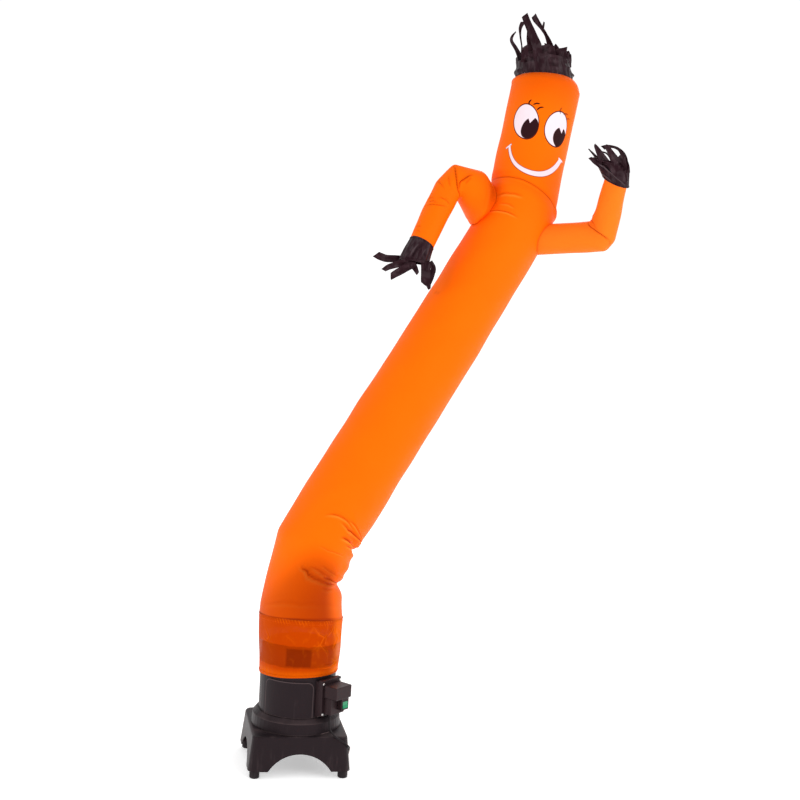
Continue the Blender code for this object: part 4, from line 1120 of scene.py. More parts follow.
def piece(name: str, mesh: bpy.types.Mesh, material: Material) -> Piece:
    """Puts a mesh measured from the blower's axis into the scene.

    Args:
        name: the piece's name.
        mesh: its mesh.
        material: its finish.

    Returns:
        The object, at the origin.
    """
    mesh.transform(Matrix.Translation(BLOWER_AXIS))
    if not mesh.materials:
        mesh.materials.append(material)
    return linked(name, mesh)


def wrapped_faces(rows: int, columns: int) -> list[list[int]]:
    """The faces over rows of points that each close into a ring."""
    corner = np.arange(rows * columns).reshape(rows, columns)
    beside = np.roll(corner, -1, axis=1)
    return np.stack((corner[:-1], beside[:-1], beside[1:], corner[1:]),
                    axis=-1).reshape(-1, 4).tolist()


def cloth_piece(name: str, material: Material, spots: Array, along: Array, shade: Array,
                radius: float, pole: Vector | None = None) -> Piece:
    """One skin over rows of points, with its flat-cloth map and each point's painted crease shade.

    Args:
        name: the piece's name.
        material: its finish.
        spots: points in rows.
        along: distance of each point along the flat cloth.
        shade: the painted shade of each point, below 0 for a painted highlight.
        radius: the tube's radius, which spaces the columns on the flat cloth.
        pole: a last point that closes the upper end.

    Returns:
        The piece, faces outwards.
    """
    rows, columns = along.shape
    faces = wrapped_faces(rows, columns)
    starts = np.arange(len(faces)) * 4
    points = spots.reshape(-1, 3).tolist()
    pinch = shade.reshape(-1).tolist()
    if pole is not None:
        rim = (rows - 1) * columns
        faces += [[rim + column, rim + (column + 1) % columns, len(points)]
                  for column in range(columns)]
        points.append(list(pole))
        pinch.append(0.0)
    mesh = bpy.data.meshes.new(name)
    mesh.from_pydata(points, [], faces)
    flat = mesh.uv_layers.new(name="cloth")
    step = TURN * radius / columns
    turns = (np.arange(columns) - columns * 0.25) % columns - columns * 0.5
    places = np.stack((np.tile(turns * step, rows), along.reshape(-1)), axis=1)
    top = float(along[-1].mean()) + radius
    loops = np.empty(len(mesh.loops), dtype=np.int32)
    mesh.loops.foreach_get("vertex_index", loops)
    chart = np.vstack((places, (0.0, top)))[loops]
    for shift in (1, 2):
        wrapped = chart[starts + shift, 0] < chart[starts, 0] - step * 2
        chart[starts[wrapped] + shift, 0] += step * columns
    flat.data.foreach_set("uv", chart.astype(np.float32).reshape(-1))
    mark = mesh.attributes.new("pinch", "FLOAT", "POINT")
    mark.data.foreach_set("value", np.array(pinch, dtype=np.float32))
    mesh.shade_smooth()
    mesh.validate()
    return piece(name, mesh, material)


def settle(slot: str, *items: Piece) -> None:
    """Lets the pieces ride on the stand.

    Args:
        slot: not used.
        items: the pieces.
    """
    for item in items:
        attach(item, "stand")


def round_spots(count: int) -> list[tuple[float, float]]:
    """Cosine and sine of even steps round a circle."""
    return [(math.cos(TURN * step / count), math.sin(TURN * step / count))
            for step in range(count)]


def sealed(name: str, material: Material, grown: bmesh.types.BMesh,
           sharp: float = 40.0) -> Piece:
    """A piece from the bmesh, smooth but for its sharp edges.

    Args:
        name: the piece's name.
        material: its finish.
        grown: the mesh in the making, freed here.
        sharp: the angle from which edges are sharp.

    Returns:
        The piece.
    """
    mesh = bpy.data.meshes.new(name)
    grown.to_mesh(mesh)
    grown.free()
    mesh.shade_smooth()
    mesh.set_sharp_from_angle(angle=math.radians(sharp))
    return piece(name, mesh, material)


def shell(name: str, material: Material, parts: Iterable[tuple[Sequence[Any], bool]],
          sharp: float = 50.0) -> Piece:
    """A piece of bodies that are each skinned over rings of places.

    Args:
        name: the piece's name.
        material: its finish.
        parts: the rings of each body, and whether its last ring joins its first again; where
            it doesn't, both ends are closed by a face.
        sharp: the angle from which edges are sharp.

    Returns:
        The piece, faces outwards.
    """
    grown = bmesh.new()
    for rows, hoop in parts:
        rings = [[grown.verts.new(spot) for spot in row] for row in rows]
        for first, second in zip(rings, rings[1:] + rings[:hoop]):
            for step, (here, there) in enumerate(zip(first, second)):
                beside = (step + 1) % len(first)
                grown.faces.new((here, first[beside], second[beside], there))
        if not hoop:
            grown.faces.new(rings[0][::-1])
            grown.faces.new(rings[-1])
    bmesh.ops.recalc_face_normals(grown, faces=grown.faces)
    return sealed(name, material, grown, sharp)


def cloth_band(name: str, material: Material, lower: Array, upper: Array, out: Array,
               thick: float) -> Piece:
    """A thin closed band of cloth between two lines of places.

    Args:
        name: the piece's name.
        material: its finish.
        lower: one edge.
        upper: the other edge.
        out: the way out from the cloth under it, at each place.
        thick: the band's thickness.

    Returns:
        The piece.
    """
    middle = (lower + upper) / 2
    rings = (lower, lower + out * thick * 0.8, middle + out * thick,
             upper + out * thick * 0.8, upper, middle - out * thick * 0.2)
    return shell(name, material, [(rings, True)], 60.0)


# ---- camera, floor and light ----

@dataclass
class Studio:
    """Camera on the figure's front, pale floor and soft lamps."""

    distance: float = 6.3
    bearing: float = 7.27
    height: float = 2.279
    yaw: float = 3.03
    pitch: float = -7.585
    roll: float = 3.28
    lens: float = 75.6
    floor_reach: float = 60.0
    surround: float = 0.80

    def camera(self) -> None:
        """Makes the camera and gives it to the scene."""
        bearing = math.radians(self.bearing)
        place = Vector((-self.distance * math.sin(bearing), -self.distance * math.cos(bearing),
                        self.height)) + BLOWER_AXIS
        heading = math.radians(self.bearing + self.yaw)
        made = linked("camera", bpy.data.cameras.new("camera"))
        made.data.lens = self.lens
        made.data.sensor_width = 36.0
        made.data.sensor_fit = "HORIZONTAL"
        made.data.clip_end = 200.0
        turn = (Matrix.Rotation(-heading, 4, "Z")
                @ Matrix.Rotation(math.radians(90.0 + self.pitch), 4, "X")
                @ Matrix.Rotation(math.radians(self.roll), 4, "Z"))
        made.matrix_world = Matrix.Translation(place) @ turn
        bpy.context.scene.camera = made

    def floor(self) -> None:
        """A wide pale floor, which isn't part of the figure."""
        grown = bmesh.new()
        bmesh.ops.create_circle(grown, cap_ends=True, segments=96, radius=self.floor_reach)
        recipe = Recipe("pale_floor")
        speck = recipe.cloud(recipe.place(), 9.0, 3.0)
        material = recipe.done({"Base Color": recipe.blend(speck, (0.90, 0.90, 0.90),
                                                           (0.92, 0.92, 0.92)),
                                "Roughness": 0.9, "Specular IOR Level": 0.1,
                                "Emission Color": (1.0, 1.0, 1.0),
                                "Emission Strength": 0.42})
        made = sealed("floor", material, grown)

    def lamp(self, name: str, place: Triple, target: Triple, size: float,
             power: float) -> None:
        """One square soft lamp.

        Args:
            name: the lamp's name.
            place: where it stands.
            target: what it points at.
            size: its side.
            power: its strength in watts.
        """
        light = bpy.data.lights.new(name, "AREA")
        light.size = size
        light.energy = power
        made = linked(name, light)
        made.location = place
        made.rotation_euler = (Vector(target) - Vector(place)).to_track_quat("-Z", "Y").to_euler()

    def light(self) -> None:
        """White surroundings and four lamps."""
        world = bpy.data.worlds.new("surroundings")
        bpy.context.scene.world = world
        world.use_nodes = True
        ground = world.node_tree.nodes["Background"]
        ground.inputs["Color"].default_value = (1.0, 1.0, 1.0, 1.0)
        seen = world.node_tree.nodes.new("ShaderNodeLightPath")
        strength = world.node_tree.nodes.new("ShaderNodeMapRange")
        strength.inputs["To Min"].default_value = self.surround
        strength.inputs["To Max"].default_value = 1.05
        world.node_tree.links.new(seen.outputs["Is Camera Ray"], strength.inputs["Value"])
        world.node_tree.links.new(strength.outputs["Result"], ground.inputs["Strength"])
        middle = (0.0, 0.0, 1.4)
        for lamp in (("key", (3.0, -5.2, 4.4), middle, 3.4, 110.0),
                     ("side", (-4.6, -2.4, 2.6), middle, 3.0, 55.0),
                     ("back", (2.4, 5.0, 3.6), middle, 3.0, 50.0),
                     ("upper", (3.0, -2.0, 2.9), (0.55, -0.1, 2.2), 1.4, 22.0)):
            self.lamp(*lamp)
        bpy.context.scene.view_settings.view_transform = "Standard"

    def build(self) -> None:
        """Camera, floor and light."""
        self.camera()
        self.floor()
        self.light()


# ---- mains lead ----

def catmull(points: Sequence[Vector], steps: int) -> list[Vector]:
    """Places on one smooth curve through the points.

    Args:
        points: the places that it goes through.
        steps: how many places for each stretch.

    Returns:
        The places, the last point included.
    """
    spots = [points[0] * 2 - points[1], *points, points[-1] * 2 - points[-2]]
    path = []
    for first, here, there, last in zip(spots, spots[1:], spots[2:], spots[3:]):
        for step in range(steps):
            share = step / steps
            path.append(0.5 * (2 * here + (there - first) * share
                               + (2 * first - 5 * here + 4 * there - last) * share ** 2
                               + (3 * here - first - 3 * there + last) * share ** 3))
    path.append(spots[-2])
    return path


@dataclass
class MainsLead:
    """Round black lead, its spare length coiled behind the blower, with its tie and plug."""

    thick: float = 0.007
    coil_centre: tuple[float, float] = (0.050, 0.305)
    coil_radii: tuple[float, ...] = (0.0421, 0.0350, 0.0350, 0.0421, 0.0386)
    coil_heights: tuple[float, ...] = (0.0042, 0.0042, 0.0113, 0.0113, 0.0174)
    turns: float = 4.5
    steps_a_turn: int = 24
    tie_bearing: float = 205.0
    tie_place: tuple[float, float] = (0.03855, 0.00775)
    tie_half: float = 0.0076
    tie_wide: float = 0.005
    plug_place: Triple = (0.0824, 0.3470, 0.0116)
    plug_square: float = 3.4
    plug_shape: tuple[Triple, ...] = (
        (0.000, 0.0052, 0.0050), (0.0008, 0.0064, 0.0060), (0.006, 0.0078, 0.0068),
        (0.012, 0.0100, 0.0082), (0.018, 0.0112, 0.0092), (0.024, 0.0108, 0.0092),
        (0.030, 0.0114, 0.0100), (0.034, 0.0124, 0.0110), (0.0385, 0.0125, 0.0112),
        (0.0400, 0.0117, 0.0104))
    relief_top: Triple = (0.188, -0.022, 0.2437)
    relief_length: float = 0.022
    ribs: int = 6
    box_turn: float = -48.0
    rubber: Moulding = Moulding("lead_rubber", (0.012, 0.011, 0.012), (0.10, 0.09, 0.085),
                                0.46, 1500.0, 0.00005, 0.25)

    def coil(self) -> list[Vector]:
        """Places round the coil, from where the lead meets it to where it leaves for the plug."""
        places = []
        for step in range(1, round(self.turns * self.steps_a_turn) + 1):
            turn = step / self.steps_a_turn
            layer = min(int(turn), len(self.coil_radii) - 1)
            ease = float(smooth(np.array((turn - layer - 0.80) / 0.20)))
            after = min(layer + 1, len(self.coil_radii) - 1)
            radius, height = (sizes[layer] * (1 - ease) + sizes[after] * ease
                              for sizes in (self.coil_radii, self.coil_heights))
            angle = math.radians(-90 - 360 * turn)
            places.append(Vector((self.coil_centre[0] + radius * math.cos(angle),
                                  self.coil_centre[1] + radius * math.sin(angle), height)))
        return places

    def route(self) -> list[Vector]:
        """The whole middle line."""
        led = catmull([Vector(metres(point)) for point in ROUTE], 3)
        meeting = Vector((self.coil_centre[0], self.coil_centre[1] - self.coil_radii[0],
                          self.coil_heights[0]))
        coiled = self.coil()
        end = [coiled[-1].lerp(Vector(self.plug_place), share) for share in (0.35, 0.70, 1.0)]
        return led + [led[-1].lerp(meeting, 0.5), meeting] + coiled + end

    def lead(self, rubber: Material) -> Piece:
        """The lead as one bevelled curve."""
        line = bpy.data.curves.new("lead", "CURVE")
        line.dimensions = "3D"
        line.bevel_depth = self.thick / 2
        line.bevel_resolution = 3
        line.use_fill_caps = True
        spline = line.splines.new("POLY")
        route = [spot + BLOWER_AXIS for spot in self.route()]
        spline.points.add(len(route) - 1)
        for point, spot in zip(spline.points, route):
            point.co = (*spot, 1.0)
        line.materials.append(rubber)
        return linked("lead", line)

    def tie(self, rubber: Material) -> Piece:
        """A flat tie closed round the coil's bundle of turns."""
        bearing = math.radians(self.tie_bearing)
        reach, level = self.tie_place
        middle = Vector((self.coil_centre[0] + reach * math.cos(bearing),
                         self.coil_centre[1] + reach * math.sin(bearing), level))
        out = Vector((math.cos(bearing), math.sin(bearing), 0.0))
        along = Vector((-out.y, out.x, 0.0))
        loops = []
        for half, edge in ((0.0075, -1), (0.0083, -1), (0.0083, 1), (0.0075, 1)):
            limit = min(half, self.tie_half)
            loop = []
            for side, up in round_spots(32):
                longest = max(abs(side), abs(up))
                flat = min(half / longest, half * 1.28) * (longest * 0.90 + 0.10)
                loop.append(middle + out * flat * side
                            + Vector((0, 0, max(-limit, min(limit + 0.0006, flat * up))))
                            + along * self.tie_wide * edge)
            loops.append(loop)
        return shell("lead_tie", rubber, [(loops, True)], 40.0)

    def relief(self, rubber: Material) -> Piece:
        """Tapered ribbed sleeve where the lead leaves the box."""
        out, along, top = self.relief_top
        foot = Matrix.Rotation(math.radians(self.box_turn), 4, "Z") @ Vector((out, along, 0.0))
        profile = [(0.0068, 0.0), (0.0068, 0.0022)]
        step = (self.relief_length - 0.0040) / self.ribs
        for rib in range(self.ribs):
            radius, depth = 0.0062 - 0.0016 * rib / self.ribs, 0.0032 + rib * step
            profile += [(radius, depth), (radius, depth + step * 0.55),
                        (radius - 0.0008, depth + step * 0.62),
                        (radius - 0.0008, depth + step * 0.95)]
        profile += [(0.0046, self.relief_length - 0.0006), (0.0042, self.relief_length)]
        rings = [[foot + Vector((radius * side, radius * deep, top - depth))
                  for side, deep in round_spots(28)] for radius, depth in reversed(profile)]
        return shell("relief", rubber, [(rings, False)])

    def plug(self, rubber: Material) -> Piece:
        """Moulded plug body: a waisted grip with ribs and a square face."""
        square, place = self.plug_square, Vector(self.plug_place)
        rings = []
        for reach, wide, tall in self.plug_shape:
            ring = []
            for side, up in round_spots(40):
                power = (abs(side) ** square + abs(up) ** square) ** (-1 / square)
                ring.append(place + Vector((reach, wide * side * power, tall * up * power)))
            rings.append(ring)
        return shell("plug", rubber, [(rings, False)])

    def build(self) -> None:
        """The lead with its relief, tie and plug; its length along the middle line is logged."""
        rubber = self.rubber.make()
        lead = self.lead(rubber)
        tie, relief, plug = self.tie(rubber), self.relief(rubber), self.plug(rubber)
        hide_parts("mains_cord", "cord_coil")
        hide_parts("strain_relief")
        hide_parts("plug_body")
        settle("rubber", lead, tie, relief, plug)
        route = self.route()
        length = sum((there - here).length for here, there in zip(route, route[1:]))
        LOG.info("lead: %.3f m along its middle line", length)


# ---- seams and stitches ----

STITCH_INPUTS = (("Spacing", "NodeSocketFloat", 0.005), ("Length", "NodeSocketFloat", 0.0034),
                 ("Thread", "NodeSocketFloat", 0.0005), ("Material", "NodeSocketMaterial", None))
STITCH_NODES = {
    "start": "NodeGroupInput", "end": "NodeGroupOutput", "curve": "GeometryNodeMeshToCurve",
    "spaced": "GeometryNodeResampleCurve", "thread": "GeometryNodeMeshUVSphere",
    "sized": "GeometryNodeTransform", "scale": "ShaderNodeCombineXYZ", "half": "ShaderNodeMath",
    "tangent": "GeometryNodeInputTangent", "aligned": "FunctionNodeAlignEulerToVector",
    "placed": "GeometryNodeInstanceOnPoints", "real": "GeometryNodeRealizeInstances",
    "dressed": "GeometryNodeSetMaterial"}
STITCH_LINKS = (
    ("start", "Line", "curve", "Mesh"), ("curve", "Curve", "spaced", "Curve"),
    ("start", "Spacing", "spaced", "Length"), ("start", "Length", "half", 0),
    ("start", "Thread", "scale", "X"), ("start", "Thread", "scale", "Y"),
    ("half", 0, "scale", "Z"), ("thread", "Mesh", "sized", "Geometry"),
    ("scale", 0, "sized", "Scale"), ("tangent", 0, "aligned", "Vector"),
    ("spaced", "Curve", "placed", "Points"), ("sized", "Geometry", "placed", "Instance"),
    ("aligned", 0, "placed", "Rotation"), ("placed", "Instances", "real", "Geometry"),
    ("real", "Geometry", "dressed", "Geometry"), ("start", "Material", "dressed", "Material"),
    ("dressed", "Geometry", "end", "Stitches"))


class Stitcher:
    """Lays thread stitches along a closed or open line with Geometry Nodes."""

    def __init__(self) -> None:
        """Builds the stitch tree once, with its inputs for sizes and thread."""
        self.tree = bpy.data.node_groups.new("stitches", "GeometryNodeTree")
        face = self.tree.interface
        self.sockets: dict[str, str] = {}
        face.new_socket("Line", in_out="INPUT", socket_type="NodeSocketGeometry")
        for name, kind, value in STITCH_INPUTS:
            socket = face.new_socket(name, in_out="INPUT", socket_type=kind)
            if value is not None:
                socket.default_value = value
            self.sockets[name] = socket.identifier
        face.new_socket("Stitches", in_out="OUTPUT", socket_type="NodeSocketGeometry")
        nodes = {name: self.tree.nodes.new(kind) for name, kind in STITCH_NODES.items()}
        nodes["spaced"].mode = "LENGTH"
        nodes["thread"].inputs["Segments"].default_value = 6
        nodes["thread"].inputs["Rings"].default_value = 4
        nodes["half"].operation = "DIVIDE"
        nodes["half"].inputs[1].default_value = 2.0
        nodes["aligned"].axis = "Z"
        for source, output, target, given in STITCH_LINKS:
            self.tree.links.new(nodes[source].outputs[output], nodes[target].inputs[given])

    def sew(self, name: str, lines: Iterable[Array], thread: Material,
            closed: bool = True, spacing: float = 0.005) -> Piece:
        """Stitches along lines, as one plain mesh.

        Args:
            name: the piece's name.
            lines: the places that each row of stitches follows.
            thread: the thread's finish.
            closed: whether each line joins its own start.
            spacing: from one stitch to the next.

        Returns:
            The piece.
        """
        grown = bmesh.new()
        for line in lines:
            spots = [grown.verts.new(spot) for spot in line]
            for here, there in zip(spots, spots[1:] + spots[:1] if closed else spots[1:]):
                grown.edges.new((here, there))
        guide_mesh = bpy.data.meshes.new(name + "_line")
        grown.to_mesh(guide_mesh)
        grown.free()
        guide = linked(name + "_line", guide_mesh)
        step = guide.modifiers.new("stitches", "NODES")
        step.node_group = self.tree
        step[self.sockets["Spacing"]] = spacing
        step[self.sockets["Length"]] = spacing * 0.70
        step[self.sockets["Material"]] = thread
        bpy.context.view_layer.update()
        graph = bpy.context.evaluated_depsgraph_get()
        mesh = bpy.data.meshes.new_from_object(guide.evaluated_get(graph))
        bpy.data.objects.remove(guide, do_unlink=True)
        mesh.name = name
        mesh.shade_smooth()
        return piece(name, mesh, thread)


# ---- the figure's cloth ----

class Side(Enum):
    """A side of the figure, as the front view shows it."""

    LEFT = "left"
    RIGHT = "right"


@dataclass
class Figure:
    """Everything that the pieces of the figure share: finishes and stitching."""

    printed: Material
    sheer: Material
    black: Material
    thread: Material
    stitcher: Stitcher


@dataclass
class Body:
    """The long bent body and the head, one bag of cloth up to its crown."""

    columns: int = 288
    pitch: float = 0.0120
    fine_pitch: float = 0.0034
    creased: tuple[tuple[float, float], ...] = ((0.0, 0.37), (1.74, 1.91))
    crown_height: float = 0.060
    crown_power: float = 2.5
    crown_lean: Triple = (-0.12, 0.20, 1.0)
    crown_shares: tuple[float, float, int] = (0.06, 0.985, 13)
    crown_spacing: float = 1.7
    crown_gathers: int = 31
    gather_depth: float = 0.0007
    flat_share: float = 0.6
    pitch_ease: float = 0.02
    thread_lift: float = 0.0005
    seam_lift: float = 0.0006
    tube: Tube = field(init=False)

    def __post_init__(self) -> None:
        """Sets up the tube."""
        self.tube = Tube(BODY_KNOTS, BODY_FOLDS, BODY_CREASES, BODY_WAVES, self.columns)

    def crown_radius(self, height: float) -> float:
        """Radius of the crown at a height above the brow."""
        share = min(height / self.crown_height, 1.0)
        return BODY_KNOTS[-1].wide * (1.0 - share ** self.crown_power) ** (1 / self.crown_power)

    def head_axes(self, height: float) -> tuple[Vector, Vector, Vector]:
        """Ways up, right and back at a height above the brow."""
        brow = BODY_KNOTS[-1]
        ease = max(0.35, 1.0 - height / self.crown_height)
        right = Vector((1.0, 0.0, brow.right_rise * ease)).normalized()
        back = Vector((0.0, 1.0, -brow.front_rise)).normalized()
        return Vector(self.crown_lean).normalized(), right, back

    def head_place(self, height: float) -> Vector:
        """Middle of the crown at a height above the brow."""
        return BODY_KNOTS[-1].place() + self.head_axes(height)[0] * height

    def head_ring(self, height: float, radius: float, angles: Array) -> Array:
        """Places round the crown.

        Args:
            height: above the brow.
            radius: of the ring, one for all places or one a place.
            angles: round the crown, in radians.

        Returns:
            The places.
        """
        _, right, back = self.head_axes(height)
        return (np.array(self.head_place(height))
                + np.outer(np.cos(angles) * radius, right)
                + np.outer(np.sin(angles) * radius, back))

    def levels(self) -> Array:
        """Distances of the rows along the tube, close together where the cloth is creased."""
        fine = np.linspace(0.0, self.tube.length, 4000)
        rate = np.full(fine.shape, 1 / self.pitch)
        for start, end in self.creased:
            near = (smooth((fine - start) / self.pitch_ease + 1)
                    * smooth((end - fine) / self.pitch_ease + 1))
            rate += near * (1 / self.fine_pitch - 1 / self.pitch)
        total = np.concatenate(([0.0], np.cumsum((rate[1:] + rate[:-1]) / 2 * np.diff(fine))))
        return np.interp(np.linspace(0.0, total[-1], round(total[-1]) + 1), total, fine)

    def grid(self) -> tuple[Array, Array, Array]:
        """Points, distances along and painted crease shade of the whole bag."""
        along = np.repeat(self.levels()[:, None], self.columns, axis=1)
        spots, shade = self.tube.surface(along)
        spots[0] += (0.0, 0.0, self.seam_lift)
        shares = 1.0 - (1.0 - np.linspace(*self.crown_shares)) ** self.crown_spacing
        rows, lengths = [], []
        last = self.crown_radius(0.0)
        for share in shares:
            height = self.crown_height * float(share)
            radius = self.crown_radius(height)
            gather = (self.gather_depth * np.sin(self.crown_gathers * self.tube.angles)
                      * float(share))
            rows.append(self.head_ring(height, radius + gather, self.tube.angles))
            lengths.append(self.tube.length + height + (last - radius) * self.flat_share)
        spots = np.concatenate((spots, np.array(rows)))
        along = np.concatenate((along, np.repeat(np.array(lengths)[:, None],
                                                 self.columns, axis=1)))
        shade = np.concatenate((shade, np.zeros((len(rows), self.columns))))
        return spots, along, shade

    def build(self, figure: Figure) -> Piece:
        """The bag of cloth with its print, and its seams.

        Args:
            figure: the finishes and stitching.

        Returns:
            The body's cloth.
        """
        spots, along, shade = self.grid()
        made = cloth_piece("body_cloth", figure.printed, spots, along, shade, self.tube.radius,
                           self.head_place(self.crown_height))
        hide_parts("body_tube")
        seams = self._stitches(figure, spots)
        settle("orange", made, seams)
        return made

    def _stitches(self, figure: Figure, spots: Array) -> Piece:
        """The seam down the back.

        Args:
            figure: the finishes and stitching.
            spots: the bag's points in rows.

        Returns:
            The stitches.
        """
        column = self.columns // 4
        line = spots[2:, column]
        out = unit(line - np.roll(spots, self.columns // 2, axis=1)[2:, column])
        return figure.stitcher.sew("body_stitches", [line + out * self.thread_lift],
                                   figure.thread, False)


@dataclass
class Sleeve:
    """Thin see-through sleeve that ties the body to the blower."""

    columns: int = 288
    pitch: float = 0.0036
    hem_wave: float = 0.014
    hem_turn: float = 65.0
    hem_reach: float = 0.05
    gathers: int = 37
    gather_reach: float = 0.022
    gather_depth: float = 0.0012
    stitched: tuple[int, int] = (-2, -5)
    thread_lift: float = 0.0006
    tube: Tube = field(init=False)

    def __post_init__(self) -> None:
        """Sets up the tube."""
        self.tube = Tube(SLEEVE_KNOTS, (), SLEEVE_CREASES, SLEEVE_WAVES, self.columns, soft=0.03)

    def hem(self, angles: Array) -> Array:
        """How far the hem rises at each angle."""
        return self.hem_wave * np.cos(angles + math.radians(self.hem_turn))

    def grid(self) -> tuple[Array, Array, Array]:
        """Points, distances along and painted crease shade."""
        along = self.tube.rows(self.pitch)
        spots, shade = self.tube.surface(along)
        fade = np.clip(1.0 - along / self.hem_reach, 0.0, 1.0)
        spots[..., 2] += self.hem(self.tube.angles)[None, :] * fade
        gathers = (np.sin(self.gathers * self.tube.angles + 1.7 * np.sin(5 * self.tube.angles))
                   * np.exp(-along / self.gather_reach))
        spots += outward(spots) * (self.gather_depth * (1 + gathers) * (along > 0.001))[..., None]
        return spots, along, shade

    def build(self, figure: Figure) -> Piece:
        """The sleeve with its hem and the seam that joins it to the body.

        Args:
            figure: the finishes and stitching.

        Returns:
            The sleeve's cloth.
        """
        spots, along, shade = self.grid()
        made = cloth_piece("sleeve_cloth", figure.sheer, spots, along, shade, self.tube.radius)
        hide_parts("base_sleeve")
        trims = [self._hem_band(figure, spots), self._seam(figure, spots)]
        settle("sheer", made, *trims)
        return made

    def _hem_band(self, figure: Figure, spots: Array) -> Piece:
        """The doubled hem, drawn tight.

        Args:
            figure: the finishes and stitching.
            spots: the sleeve's points in rows.

        Returns:
            The band.
        """
        lower, upper = spots[0], spots[3]
        out = outward(upper * (1.0, 1.0, 0.0))
        return cloth_band("sleeve_hem", figure.sheer, lower + out * 0.0002,
                          upper + out * 0.0006, out, 0.0012)

    def _seam(self, figure: Figure, spots: Array) -> Piece:
        """Two rows of stitches under the join with the body."""
        lines = [spots[row] + outward(spots[row]) * self.thread_lift for row in self.stitched]
        return figure.stitcher.sew("sleeve_stitches", lines, figure.thread)


@dataclass
class Arm:
    """One bent arm, sewn into the body's side."""

    side: Side
    knots: Sequence[Knot]
    fold: Fold
    creases: Sequence[Crease]
    cloth: Nylon
    # rooted is the side, in degrees, where the painted shade round the root is darkest; the value
    # after it is the strength of a wider painted shadow on that side.
    rooted: float = 180.0
    root_shadow: float = 0.0
    columns: int = 160
    pitch: float = 0.0036
    probe: float = 0.004
    sunk: float = 0.002
    root_shade: float = 0.55
    root_reach: float = 0.0045
    root_shadow_place: float = 0.034
    root_shadow_reach: float = 0.042
    thread_lift: float = 0.0004

    def __post_init__(self) -> None:
        """Sets up the tube."""
        self.tube = Tube(self.knots, (self.fold,), self.creases, ARM_WAVES, self.columns,
                         fold_pitch=0.020, soft=0.008)

    def start(self, body: BVHTree) -> Array:
        """Where each column leaves the body's cloth.

        Args:
            body: a search tree of the body's faces.

        Returns:
            Distances along the arm.
        """
        along = self.tube.rows(self.probe)
        spots, _ = self.tube.surface(along)
        found = np.zeros(self.columns)
        for column in range(self.columns):
            for row in range(len(along) - 1, 0, -1):
                here, there = Vector(spots[row, column]), Vector(spots[row - 1, column])
                run = there - here
                hit = body.ray_cast(here, run.normalized(), run.length)[0]
                if hit is not None:
                    share = (hit - here).length / max(run.length, 1e-9)
                    found[column] = along[row, 0] - self.probe * share
                    break
        return found

    def build(self, figure: Figure, body: BVHTree) -> Piece:
        """The arm's cloth from the body to the wrist, and the stitches round its root.

        Args:
            figure: the finishes and stitching.
            body: a search tree of the body's faces.

        Returns:
            The arm's cloth.
        """
        start = self.start(body)
        for _ in range(2):
            start = (np.roll(start, 1) + 2 * start + np.roll(start, -1)) / 4
        count = round((self.tube.length - float(start.mean())) / self.pitch)
        share = np.linspace(0.0, 1.0, count + 1)[:, None]
        along = (start[None, :] - self.sunk * (1 - share)
                 + (self.tube.length - start[None, :]) * share)
        along = np.minimum(along, self.tube.length)
        spots, shade = self.tube.surface(along)
        # Painted shade: a thin dark line round the root, strongest towards rooted, and a wider
        # painted shadow beside it on that side.
        towards = np.cos(self.tube.angles - math.radians(self.rooted))
        grown = along - along[0]
        root = (self.root_shade * np.clip(0.3 + towards, 0.0, 1.0)
                * bell((grown - self.sunk) / self.root_reach))
        root_shadow = (self.root_shadow * np.clip(2.4 * towards - 1.4, 0.0, 1.0)
                * bell((grown - self.root_shadow_place) / self.root_shadow_reach))
        shade = np.maximum(shade, root) + root_shadow
        name = self.side.value + "_arm"
        made = cloth_piece(name + "_cloth", self.cloth.make(), spots, along, shade,
                           self.tube.radius)
        out = unit(spots[2] - spots[0:8].mean(axis=(0, 1)))
        seam = figure.stitcher.sew(name + "_stitches", [spots[2] + out * self.thread_lift],
                                   figure.thread)
        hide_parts(name)
        settle("orange", made, seam)
        return made


# ---- black hands and hair ----

